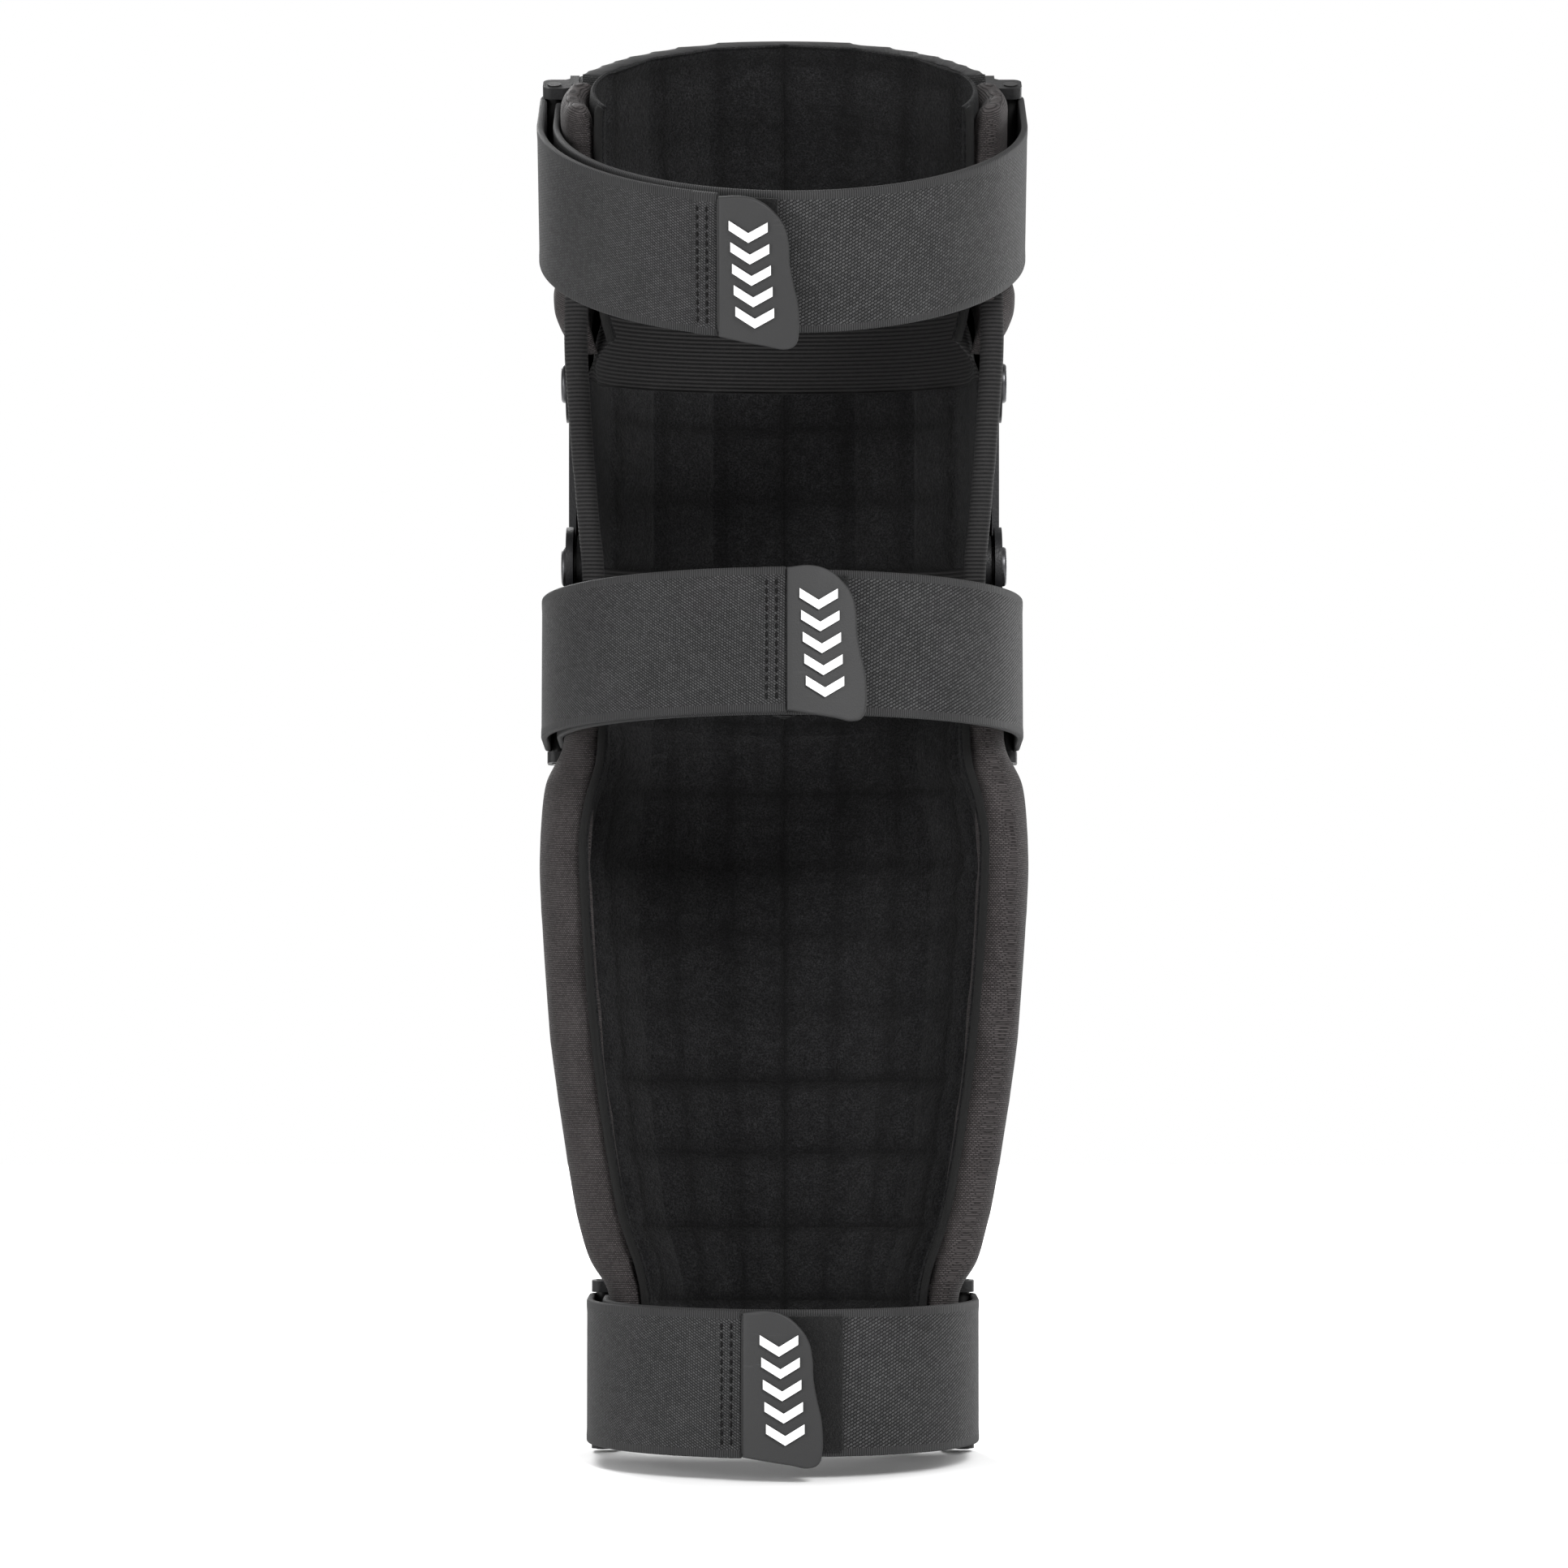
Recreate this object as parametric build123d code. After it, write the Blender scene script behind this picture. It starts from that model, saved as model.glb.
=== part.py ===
"""Knee and shin guard: three hinged hard shells on padded wings, held by three fold-back straps.

Millimetres. +Z up, the knee cup faces -Y, the straps close behind the leg at +Y. The origin is the middle of
the lower knee pivot line. The pull side of every strap is +X and the anchor side is -X.
Angles round the leg are measured from the front (-Y) towards +X, so 90 is the pull side and 180 the rear.
"""

import os
from math import asin, cos, degrees, radians, sin

from build123d import *

os.makedirs("parts", exist_ok=True)

# Pose at rest: how far the shin and thigh axes lean (positive swings the lower end back).
SHIN_LEAN = 5.0
THIGH_LEAN = -23.5
PIVOT_RISE = 65.0  # height of the upper pivot line over the lower one

# Knee joint travel that the overlapping rims allow for.
EXTENSION = 8.0
RIM = 30.0  # the cup reaches this far past each pivot line
LAP = 15.0  # the shells' collars reach this far under the cup past the pivot line
RIM_MARGIN = 5.0

SHELL = 3.0  # moulded shell thickness
CLEAR = 0.4  # gap between neighbouring layers
EDGE_ROOM = 1.0  # degrees round the leg between a shell's side edge and the brackets beside it
FOAM = 9.6
LINING = 1.2
WING_REACH = 112.0  # the wings end this far round the leg
WING_START = 72.0
PAD_REACH = 71.0

# Knee pivots, outwards along X.
EAR_IN = 70.8
EAR_THICK = 2.4
CUP_EAR_IN = 74.4
CUP_EAR_THICK = 2.6
EAR_RADIUS = 14.0
EAR_IN_RADIUS = 11.0  # the inner ears stay inside the curve of the cup
PIVOT_RADIUS = 3.0
RUNNING = 0.06
COLLAR_DEPTH = 74.2
CUP_DEPTH = 79.0
COLLAR_REACH = 84.0

# Straps.
STRAP_TALL = 50.0
WEB = 2.4  # webbing thickness
PATCH = 1.2  # hook and loop thickness
FACE_GAP = 0.3  # between the closed hook and loop faces
SEAM = 0.25  # between pieces sewn face to face
TAB = 2.5
BADGE = 0.7
CHEVRONS = 5
CHEVRON_PITCH = 7.5
CHEVRON_HALF = 6.5  # half the width of a chevron
CHEVRON_THICK = 3.2
CHEVRON_DROP = 4.0  # how far its point hangs below its ends
BAR_RADIUS = 2.5
BAR_CLEAR = 0.1
INNER_AT = 0.4  # the inner webbing starts this far outside the ring
OUTER_AT = INNER_AT + WEB + SEAM + PATCH + FACE_GAP + PATCH + SEAM
SHOULDER = 0.6  # webbing edge to lug
LUG = 4.0

# Stations down the shin: height, tilt, half width, front depth of the padded wings.
SHIN_WING = [
    (-25, 25, 74.5, 62),
    (-40, 10, 77.4, 62),
    (-68, 0, 77.6, 62),
    (-86, 0, 82.5, 61.6),
    (-107, 0, 84.5, 61),
    (-170, 0, 79.5, 57),
    (-225, 0, 70.5, 51),
    (-255, 0, 61.0, 48),
    (-292, 0, 60.4, 45),
]
# The same for the outside of the shin shell, with how far round the leg it reaches.
SHIN_SHELL = [
    (-30, 25, 75.4, 70, 72),
    (-62, 8, 81.0, 66, 62),
    (-107, 0, 86.5, 64.4, 64),
    (-170, 0, 82.9, 60.4, 66),
    (-230, 0, 73.0, 54, 62),
    (-262, 0, 64.6, 51, 60),
    (-298, 0, 63.6, 48, 50),
]
THIGH_WING = [
    (24, 0, 74.0, 66),
    (44, 0, 77.5, 68),
    (100, 0, 77.6, 67),
    (108, 0, 76.4, 66),
]
THIGH_SHELL = [
    (32, -8, 76.4, 73.5, 76),
    (50, 0, 81.0, 72.6, 60),
    (76, 0, 81.0, 71.4, 60),
    (104, 0, 80.6, 70.2, 48),
]


def ring_edges(radii, start, end, x0=0.0):
    """Elliptical arcs round the leg from start to end; radii are half width, front depth, rear depth."""
    half, front, rear = radii
    edges = []
    for low, high, depth in ((-270, -90, rear), (-90, 0, front), (0, 90, front), (90, 270, rear), (270, 450, front)):
        first, last = max(start, low), min(end, high)
        if last > first:
            edges.append(EllipticalCenterArc((x0, 0), half, depth, first - 90, arc_size=last - first).edge())
    return edges


def ring_point(radii, angle, x0=0.0):
    """The point of the ring at an angle."""
    half, front, rear = radii
    depth = front if cos(radians(angle)) > 0 else rear
    return (x0 + half * sin(radians(angle)), -depth * cos(radians(angle)))


def wall_face(inner, outer, start, end, x0=0.0):
    """A curved strip between two rings, as a face in the XY plane."""
    far, near = ring_edges(outer, start, end, x0), ring_edges(inner, start, end, x0)
    closing = [
        Line(ring_point(inner, angle, x0), ring_point(outer, angle, x0)).edge() for angle in (start, end)
    ]
    return Face(Wire([*far, *near, *closing]))


def tilted(height, tilt):
    """A plane across the leg at a height, its front tipped down by tilt."""
    return Plane((0, 0, height), x_dir=(1, 0, 0), z_dir=(0, -sin(radians(tilt)), cos(radians(tilt))))


def grown(half, front, by, rear=None):
    """Ring radii made larger all round."""
    return (half + by, front + by, (rear or front) + by)


def wing_layer(stations, low, high, start, end):
    """A soft layer lofted through the wing stations, between two depths from the wing's outside."""
    sections = []
    for height, tilt, half, front in stations:
        face = wall_face(grown(half, front, low), grown(half, front, high), start, end)
        sections.append(tilted(height, tilt) * face)
    return loft(sections, ruled=True)


def shell_layer(stations, collar_tilt, low, high):
    """A hard shell from the end of its collar through its stations, between two depths from its outside."""
    collar = wall_face(
        (EAR_IN + EAR_THICK + low, COLLAR_DEPTH + low, COLLAR_DEPTH),
        (EAR_IN + EAR_THICK + high, COLLAR_DEPTH + high, COLLAR_DEPTH),
        -COLLAR_REACH,
        COLLAR_REACH,
    )
    sections = [tilted(0, collar_tilt) * collar]
    for height, tilt, half, front, reach in stations:
        face = wall_face(grown(half, front, low), grown(half, front, high), -reach, reach)
        sections.append(tilted(height, tilt) * face)
    return loft(sections), sections[0]


def section_core(wing, shell, collar_tilt):
    """The wings filled in and the shell thickened inwards, both a little grown, for seating parts on them."""
    rings = [tilted(z, tilt) * Ellipse(half + CLEAR, front + CLEAR).face() for z, tilt, half, front in wing]
    filled = loft(rings, ruled=True)
    wider = [(z, tilt, half, front, reach + EDGE_ROOM) for z, tilt, half, front, reach in shell]
    thick, _ = shell_layer(wider, collar_tilt, -4 * SHELL, CLEAR)
    return thick, filled


def pivot_disc(x_from, thick, radius):
    """Discs on the pivot line at both sides of the knee."""
    discs = []
    for side in (1, -1):
        centre = side * (x_from + thick / 2)
        discs.append(Pos(centre, 0, 0) * Rot(0, 90, 0) * Cylinder(radius, thick))
    return Part() + discs


def across(radius):
    """A cutter through both pivots."""
    return Rot(0, 90, 0) * Cylinder(radius, 4 * EAR_IN)


def hinged_shell(stations, lean, end_world, lap_world):
    """A shell with a collar turned about the pivot line and ears on it, cut clear of the cup's travel."""
    end_tilt = end_world - lean
    lap_tilt = lap_world - lean
    body, end_face = shell_layer(stations, end_tilt, -SHELL, 0)
    collar = revolve(end_face, axis=Axis.X, revolution_arc=lap_tilt - end_tilt)
    cup_face = wall_face(
        (CUP_EAR_IN - CLEAR, CUP_DEPTH - CUP_EAR_THICK - CLEAR, CUP_DEPTH),
        (CUP_EAR_IN + 20, CUP_DEPTH + 3, CUP_DEPTH),
        -COLLAR_REACH,
        COLLAR_REACH,
    )
    travel = RIM + EXTENSION + 1
    if end_tilt < lap_tilt:
        travel = -travel
    swept = revolve(cup_face, axis=Axis.X, revolution_arc=travel)
    body -= Rot(-lean, 0, 0) * swept
    body -= pivot_disc(EAR_IN + EAR_THICK, 20, EAR_RADIUS + 0.6)
    return body + collar + pivot_disc(EAR_IN, EAR_THICK, EAR_IN_RADIUS)


def slots(angles, heights, wide, tall, depth):
    """Upright rounded vent slots through the front of a shell."""
    cutters = []
    for angle in angles:
        for height in heights:
            slot = extrude(Plane.XZ.offset(-depth) * SlotOverall(tall, wide, rotation=90).face(), 3 * depth)
            cutters.append(Pos(0, 0, height) * Rot(0, 0, angle) * slot)
    return Part() + cutters


def rounded_block(size, radius):
    """A box with rounded upright edges."""
    return extrude(RectangleRounded(size[0], size[1], radius).face(), size[2] / 2, both=True)


class Strap:
    """One strap: its ring round the leg and where its pieces sit on it."""

    def __init__(self, name, place, half, rear, x0, bar_y, hem_x, tip_x, loop_to):
        self.name = name
        self.place = place
        self.half = half
        self.rear = rear
        self.x0 = x0
        self.bar_y = bar_y
        self.hem_x = hem_x
        self.tip_x = tip_x
        self.loop_to = loop_to
        turn = BAR_RADIUS + BAR_CLEAR + WEB / 2
        # Each pin sits so that the webbing leaves it straight: the fold-back layer or the inner layer.
        self.bar_x = {1: half + OUTER_AT + WEB / 2 - turn, -1: half + INNER_AT + WEB / 2 - turn}

    def radii(self, by):
        return (self.half + by, self.rear + by, self.rear + by)

    def angle(self, x, by):
        """Ring angle at the rear where the ring crosses x."""
        return 180 - degrees(asin((x - self.x0) / (self.half + by)))

    def wrap(self, low, high, start, end, tall=STRAP_TALL):
        """A curved strip on the ring between two angles."""
        face = wall_face(self.radii(low), self.radii(high), start, end, self.x0)
        return extrude(face, tall / 2, both=True)

    def bar(self, side):
        return (self.x0 + side * self.bar_x[side], self.bar_y)

    def run(self, side, low, high, y_from, tall=STRAP_TALL):
        """The straight run forward from the ring's widest point."""
        middle = self.x0 + side * (self.half + (low + high) / 2)
        box = Box(high - low, -y_from, tall)
        return Pos(middle, y_from / 2, 0) * box

    def curl(self, side):
        """Webbing turned half way round the front of the bar."""
        ring = Circle(BAR_RADIUS + BAR_CLEAR + WEB).face() - Circle(BAR_RADIUS + BAR_CLEAR).face()
        size = 4 * BAR_RADIUS + 4 * WEB
        front_half = Pos(0, -size / 2, 0) * Box(size, size, STRAP_TALL)
        half_ring = extrude(ring, STRAP_TALL / 2, both=True) & front_half
        return Pos(*self.bar(side), 0) * half_ring

    def bracket(self, side, core, base_low, base_high):
        """Moulded loop bracket: a spine with a lug above and below the strap and a base on the shell."""
        reach = BAR_RADIUS + BAR_CLEAR + WEB + FACE_GAP
        tall = STRAP_TALL + 2 * SHOULDER + 2 * LUG
        bar_x, bar_y = self.bar(side)
        inner_x = bar_x - side * (reach + SPINE)
        body = Pos(inner_x + side * SPINE / 2, bar_y - 6, 0) * Box(SPINE, 11, tall)
        lug_in = 2.4
        wide = reach + SPINE + BAR_RADIUS + 1.5 - lug_in
        for end in (1, -1):
            z = end * (tall - LUG) / 2
            body += Pos(inner_x + side * (lug_in + wide / 2), bar_y - 1, z) * rounded_block((wide, 11, LUG), 3)
        base = Pos(inner_x - side * 4, bar_y - 11, (base_low + base_high) / 2)
        body += base * Rot(0, 0, side * BASE_TURN) * Box(18, 7, base_high - base_low)
        for taken in core:
            body -= taken
        body -= Pos(bar_x, bar_y, 0) * Cylinder(BAR_RADIUS, 2 * tall)
        return biggest(body)

    def pin(self, side):
        tall = STRAP_TALL + 2 * SHOULDER + 2 * LUG
        return Pos(*self.bar(side), 0) * Cylinder(BAR_RADIUS, tall + 0.8)

    def band(self):
        """Inner webbing: from the curl on the anchor bar round the rear to the pull bar."""
        low, high = INNER_AT, INNER_AT + WEB
        stop = self.bar_y + BAR_RADIUS + BAR_CLEAR + WEB + CLEAR
        ring = self.wrap(low, high, 90, 270)
        pull = self.run(1, low, high, stop)
        anchor = self.run(-1, low, high, self.bar_y)
        return ring + pull + anchor + self.curl(-1)

    def end_webbing(self):
        """Fold-back webbing: from the curl on the pull bar round the rear to its hem."""
        low, high = OUTER_AT, OUTER_AT + WEB
        ring = self.wrap(low, high, 90, self.angle(self.hem_x, low))
        return ring + self.run(1, low, high, self.bar_y) + self.curl(1)

    def loop_patch(self):
        low = INNER_AT + WEB + SEAM
        first, last = self.angle(self.hem_x + LOOP_BACK, low), self.angle(self.loop_to, low)
        return self.wrap(low, low + PATCH, first, last, STRAP_TALL - 4)

    def hook_patch(self):
        low = OUTER_AT - SEAM - PATCH
        first, last = self.angle(self.hem_x + HOOK_BACK, low), self.angle(self.hem_x + 1, low)
        return self.wrap(low, low + PATCH, first, last, STRAP_TALL - 8)

    def rear_cutter(self, outline):
        """An outline drawn in the strap's X and height, cut through the rear of the strap."""
        return extrude(Plane.XZ * outline, -2 * self.rear)

    def tab(self):
        """Rubber pull tab: straight where it is sewn to the hem, swept to a blunt tip."""
        low = OUTER_AT + WEB + SEAM
        left, tip, half = self.hem_x, self.tip_x, STRAP_TALL / 2
        outline = make_face(
            Polyline((left, half - 0.5), (left, -half + 0.5), (tip + 4, -half - 2.5))
            + Spline(
                (tip + 4, -half - 2.5),
                (tip, -half + 4),
                (tip + 2.2, -4),
                (tip + 3.6, 10),
                (tip + 10, 22),
                (left - 9, half + 0.2),
            )
            + Line((left - 9, half + 0.2), (left, half - 0.5))
        )
        shell = self.wrap(low, low + TAB, self.angle(left + 2, low), self.angle(tip - 6, low), STRAP_TALL + 12)
        return biggest(shell & self.rear_cutter(outline))

    def badge(self):
        """Raised chevrons on the tab."""
        low = OUTER_AT + WEB + SEAM + TAB + SEAM
        shell = self.wrap(low, low + BADGE, self.angle(self.hem_x, low), self.angle(self.tip_x, low))
        chevrons = []
        for number in range(CHEVRONS):
            z = (number - (CHEVRONS - 1) / 2) * CHEVRON_PITCH + CHEVRON_DROP / 2
            middle = (self.hem_x + self.tip_x) / 2 + 1.5 + z / 14
            outline = Polyline(
                (middle - CHEVRON_HALF, z),
                (middle, z - CHEVRON_DROP),
                (middle + CHEVRON_HALF, z),
                (middle + CHEVRON_HALF, z - CHEVRON_THICK),
                (middle, z - CHEVRON_DROP - CHEVRON_THICK),
                (middle - CHEVRON_HALF, z - CHEVRON_THICK),
                close=True,
            )
            chevrons.append(shell & self.rear_cutter(make_face(outline)))
        return Part() + chevrons


def biggest(shape):
    """The largest solid of a shape, without offcuts."""
    return max(shape.solids(), key=lambda solid: solid.volume)


SPINE = 3.2
BASE_TURN = 38
LOOP_BACK = 46
HOOK_BACK = 36

upper_pivot = Pos(0, 0, PIVOT_RISE)
shin_place = Rot(SHIN_LEAN, 0, 0)
thigh_place = upper_pivot * Rot(THIGH_LEAN, 0, 0)

thigh_strap = Strap("thigh_strap", thigh_place * Pos(0, 3, 72), 79.6, 77, -2.2, -30, 22, -3.5, 2)
calf_strap = Strap("calf_strap", shin_place * Pos(0, 0, -37) * Rot(1.6, 0, 0), 79.6, 71, -2.2, -30, -1, -28, -22)
ankle_strap = Strap("ankle_strap", shin_place * Pos(0, 0, -283) * Rot(-3.6, 0, 0), 63.1, 59, -2.4, -24, 14, -16, -20)

parts = {}


def soft_set(name, stations, cutter, place):
    """Foam, wings, lining and binding of one padded section."""
    foam = wing_layer(stations, -FOAM, 0, -PAD_REACH, PAD_REACH) - cutter
    parts[name + "_foam_pad"] = place * biggest(foam)
    for side, label in ((1, "pull_side"), (-1, "anchor_side")):
        ends = sorted((side * WING_START, side * WING_REACH))
        wing = wing_layer(stations, -FOAM, 0, *ends) - cutter
        parts[name + "_wing_" + label] = place * biggest(wing)
    low = -FOAM - CLEAR / 2
    parts[name + "_lining"] = place * wing_layer(stations, low - LINING, low, -WING_REACH, WING_REACH)
    strips = []
    for side in (1, -1):
        ends = sorted((side * (WING_REACH + 0.2), side * (WING_REACH + 1.8)))
        strips.append(wing_layer(stations, low - LINING, -FOAM / 2, *ends))
    parts[name + "_edge_binding"] = place * (Part() + strips)


def strap_set(strap, core, base_low, base_high):
    """One strap: brackets, pins, inner webbing, loop patch and the fold-back end."""
    core = [strap.place.inverse() * taken for taken in core]
    for side, label in ((1, "pull_side"), (-1, "anchor_side")):
        bracket = strap.bracket(side, core, base_low, base_high)
        parts[strap.name + "_bracket_" + label] = strap.place * bracket
    parts[strap.name + "_pins"] = strap.place * (Part() + [strap.pin(1), strap.pin(-1)])
    parts[strap.name + "_band"] = strap.place * strap.band()
    parts[strap.name + "_loop_patch"] = strap.place * strap.loop_patch()
    parts[strap.name + "_end_webbing"] = strap.place * strap.end_webbing()
    parts[strap.name + "_hook_patch"] = strap.place * strap.hook_patch()
    parts[strap.name + "_pull_tab"] = strap.place * strap.tab()
    parts[strap.name + "_tab_chevrons"] = strap.place * strap.badge()


# Shin section.
covered = RIM + EXTENSION + RIM_MARGIN
shin_shell = hinged_shell(SHIN_SHELL, SHIN_LEAN, covered, -LAP)
shin_shell -= across(PIVOT_RADIUS + RUNNING)
shin_cutter, _ = shell_layer(SHIN_SHELL, covered - SHIN_LEAN, -SHELL - CLEAR, 0)
shin_shell -= slots((-30, 0, 30), (-120, -200), 5, 26, 90)
parts["shin_shell"] = shin_place * shin_shell
soft_set("shin", SHIN_WING, shin_cutter, shin_place)

# Thigh section.
thigh_shell = hinged_shell(THIGH_SHELL, THIGH_LEAN, -covered, LAP)
thigh_shell -= across(PIVOT_RADIUS + RUNNING)
thigh_cutter, _ = shell_layer(THIGH_SHELL, -covered - THIGH_LEAN, -SHELL - CLEAR, 0)
thigh_shell -= slots((-26, 0, 26), (74,), 5, 26, 90)
parts["thigh_shell"] = thigh_place * thigh_shell
soft_set("thigh", THIGH_WING, thigh_cutter, thigh_place)


# Knee cup: straight between the pivot lines and turned about each of them past its rims.
def cup_layer(inner, outer, reach, rim):
    """A layer of the cup between two (half width, depth) rings."""
    face = wall_face((*inner, inner[1]), (*outer, outer[1]), -reach, reach)
    turned = revolve(face, axis=Axis.X, revolution_arc=rim)
    return extrude(face, PIVOT_RISE) + turned + turned.mirror(Plane.XY.offset(PIVOT_RISE / 2))


cup_outer = CUP_EAR_IN + CUP_EAR_THICK
cup = cup_layer((CUP_EAR_IN, CUP_DEPTH - CUP_EAR_THICK), (cup_outer, CUP_DEPTH), COLLAR_REACH, RIM)
cup += cup_layer((cup_outer - 1, CUP_DEPTH - 1), (cup_outer + 2, CUP_DEPTH + 2), 34, RIM - 12)
ears = pivot_disc(CUP_EAR_IN, CUP_EAR_THICK, EAR_RADIUS)
cup = cup + ears + upper_pivot * ears
cup = cup - across(PIVOT_RADIUS) - upper_pivot * across(PIVOT_RADIUS)
parts["knee_cup_shell"] = cup

PAD_PAST = 12.0  # the knee pad runs this far past each pivot line
pad_face = Pos(0, 0, -PAD_PAST) * wall_face((67.4, 58.4, 58.4), (68.6, 65.0, 65.0), -64, 64)
parts["knee_cup_foam_pad"] = extrude(pad_face, PIVOT_RISE + 2 * PAD_PAST)
lining_face = wall_face((65.8, 57.0, 59.0), (67.0, 58.2, 60.2), -106, 106)
parts["knee_cup_lining"] = extrude(lining_face, PIVOT_RISE)
strip_face = wall_face((68.9, 65.3, 65.3), (CUP_EAR_IN - 0.3, CUP_DEPTH - CUP_EAR_THICK - 0.3, 60), -24, 24)
parts["knee_pad_fixing_strip"] = Pos(0, 0, PIVOT_RISE / 2) * extrude(strip_face, 2.5, both=True)
for side, label in ((1, "pull_side"), (-1, "anchor_side")):
    roll = Cylinder(4, PIVOT_RISE - 24) + Pos(0, 0, PIVOT_RISE / 2 - 12) * Sphere(4)
    roll += Pos(0, 0, 12 - PIVOT_RISE / 2) * Sphere(4)
    parts["knee_side_roll_" + label] = Pos(side * 67.9, 19.5, PIVOT_RISE / 2) * roll

rivets = []
washers = []
for height in (0, PIVOT_RISE):
    for side in (1, -1):
        turn = Pos(0, 0, height) * Rot(0, 90 * side, 0)
        shaft_low, shaft_high = EAR_IN - 0.2, cup_outer
        shaft = Pos(0, 0, (shaft_low + shaft_high) / 2) * Cylinder(PIVOT_RADIUS, shaft_high - shaft_low)
        head = Pos(0, 0, cup_outer + 0.9) * Cylinder(7, 1.8)
        head = fillet(head.edges().group_by(Axis.Z)[-1], 1.2)
        flange = Pos(0, 0, shaft_low - 0.6) * Cylinder(5.5, 1.2)
        rivets.append(turn * (shaft + head + flange))
        ring = Cylinder(7, 0.96) - Cylinder(PIVOT_RADIUS + 0.02, 2)
        washers.append(turn * Pos(0, 0, CUP_EAR_IN - 0.48) * ring)
parts["pivot_rivets"] = Part() + rivets
parts["pivot_washers"] = Part() + washers

# Straps.
thigh_core = [thigh_place * taken for taken in section_core(THIGH_WING, THIGH_SHELL, -covered - THIGH_LEAN)]
strap_set(thigh_strap, thigh_core, -29, 29)
shin_core = [shin_place * taken for taken in section_core(SHIN_WING, SHIN_SHELL, covered - SHIN_LEAN)]
strap_set(calf_strap, shin_core, -29, -6)
strap_set(ankle_strap, shin_core, -14, 29)

for name, shape in parts.items():
    export_step(shape, f"parts/{name}.step")
    print(name, len(shape.solids()), round(shape.volume))
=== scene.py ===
import bpy
from math import cos, pi, radians, sin, sqrt
from mathutils import Matrix, Vector


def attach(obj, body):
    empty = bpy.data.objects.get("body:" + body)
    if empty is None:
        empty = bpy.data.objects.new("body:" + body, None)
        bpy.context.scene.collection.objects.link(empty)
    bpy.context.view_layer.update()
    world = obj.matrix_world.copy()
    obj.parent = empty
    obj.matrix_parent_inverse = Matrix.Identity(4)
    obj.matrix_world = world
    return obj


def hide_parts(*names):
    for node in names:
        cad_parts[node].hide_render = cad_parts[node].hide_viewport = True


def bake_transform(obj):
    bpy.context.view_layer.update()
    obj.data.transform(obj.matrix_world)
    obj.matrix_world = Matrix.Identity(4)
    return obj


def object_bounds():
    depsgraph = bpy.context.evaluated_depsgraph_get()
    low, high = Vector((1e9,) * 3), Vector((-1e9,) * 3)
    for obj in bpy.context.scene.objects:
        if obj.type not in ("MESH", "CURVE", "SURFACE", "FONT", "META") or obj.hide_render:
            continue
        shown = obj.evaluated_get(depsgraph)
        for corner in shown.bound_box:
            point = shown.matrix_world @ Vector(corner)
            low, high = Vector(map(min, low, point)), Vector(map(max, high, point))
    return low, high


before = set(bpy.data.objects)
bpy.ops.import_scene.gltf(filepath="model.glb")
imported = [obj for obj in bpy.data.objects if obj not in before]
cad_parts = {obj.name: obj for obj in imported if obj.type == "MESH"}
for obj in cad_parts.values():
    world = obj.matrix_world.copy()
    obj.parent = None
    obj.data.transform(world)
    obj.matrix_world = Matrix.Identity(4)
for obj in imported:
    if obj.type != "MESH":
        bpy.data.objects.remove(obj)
cad_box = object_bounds()

# ---------------- studio
# The guard stands in an empty white studio: a pale floor, a pale room all round and four soft boxes.
# A long lens stands level with its middle, behind the leg.
LENS = 129.5
CAMERA_BACK = 2.0
CAMERA_HEIGHT = -0.077
ROOM_ON_GUARD = 0.6
ROOM_SEEN = 1.0
FLOOR_SIZE = 3
FLOOR_GAP = 0.001
lowest = cad_box[0][2]


def having(thing, **values):
    """Sets attributes of a thing and hands it back."""
    for label, value in values.items():
        setattr(thing, label, value)
    return thing


camera_data = having(bpy.data.cameras.new("studio_camera"), lens=LENS, sensor_width=36)
camera = bpy.data.objects.new("studio_camera", camera_data)
bpy.context.collection.objects.link(camera)
camera.location = (0, CAMERA_BACK, CAMERA_HEIGHT)
camera.rotation_euler = (radians(90), 0, radians(180))
bpy.context.scene.camera = camera


def soft_box(name, place, aim, side, power):
    """A square studio light turned to face a point."""
    data = having(bpy.data.lights.new(name, "AREA"), size=side, energy=power)
    box = bpy.data.objects.new(name, data)
    bpy.context.collection.objects.link(box)
    box.location = place
    box.rotation_euler = (Vector(aim) - Vector(place)).to_track_quat("-Z", "Y").to_euler()


soft_box("key_light", (-0.8, 1.7, 1.1), (0, 0, -0.05), 0.7, 46)
soft_box("fill_light", (1.5, 1.4, 0.1), (0, 0, -0.1), 1.0, 24)
soft_box("front_light", (0.7, -1.7, 1.0), (0, 0, -0.05), 0.8, 46)
soft_box("front_fill", (-1.4, -1.5, 0.2), (0, 0, -0.05), 1.0, 22)


def preset(node, **values):
    """Sets a node's inputs by name; an underscore stands for a space."""
    for label, value in values.items():
        node.inputs[label.replace("_", " ")].default_value = value


world = bpy.data.worlds.new("studio_room")
world.use_nodes = True
room = world.node_tree
preset(room.nodes["Background"], Color=(1.0, 1.0, 1.0, 1))
sight = room.nodes.new("ShaderNodeLightPath")
strength = room.nodes.new("ShaderNodeMapRange")
preset(strength, To_Min=ROOM_ON_GUARD, To_Max=ROOM_SEEN)
room.links.new(sight.outputs["Is Camera Ray"], strength.inputs["Value"])
room.links.new(strength.outputs["Result"], room.nodes["Background"].inputs["Strength"])
bpy.context.scene.world = world
bpy.context.scene.view_settings.view_transform = "Standard"

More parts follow.
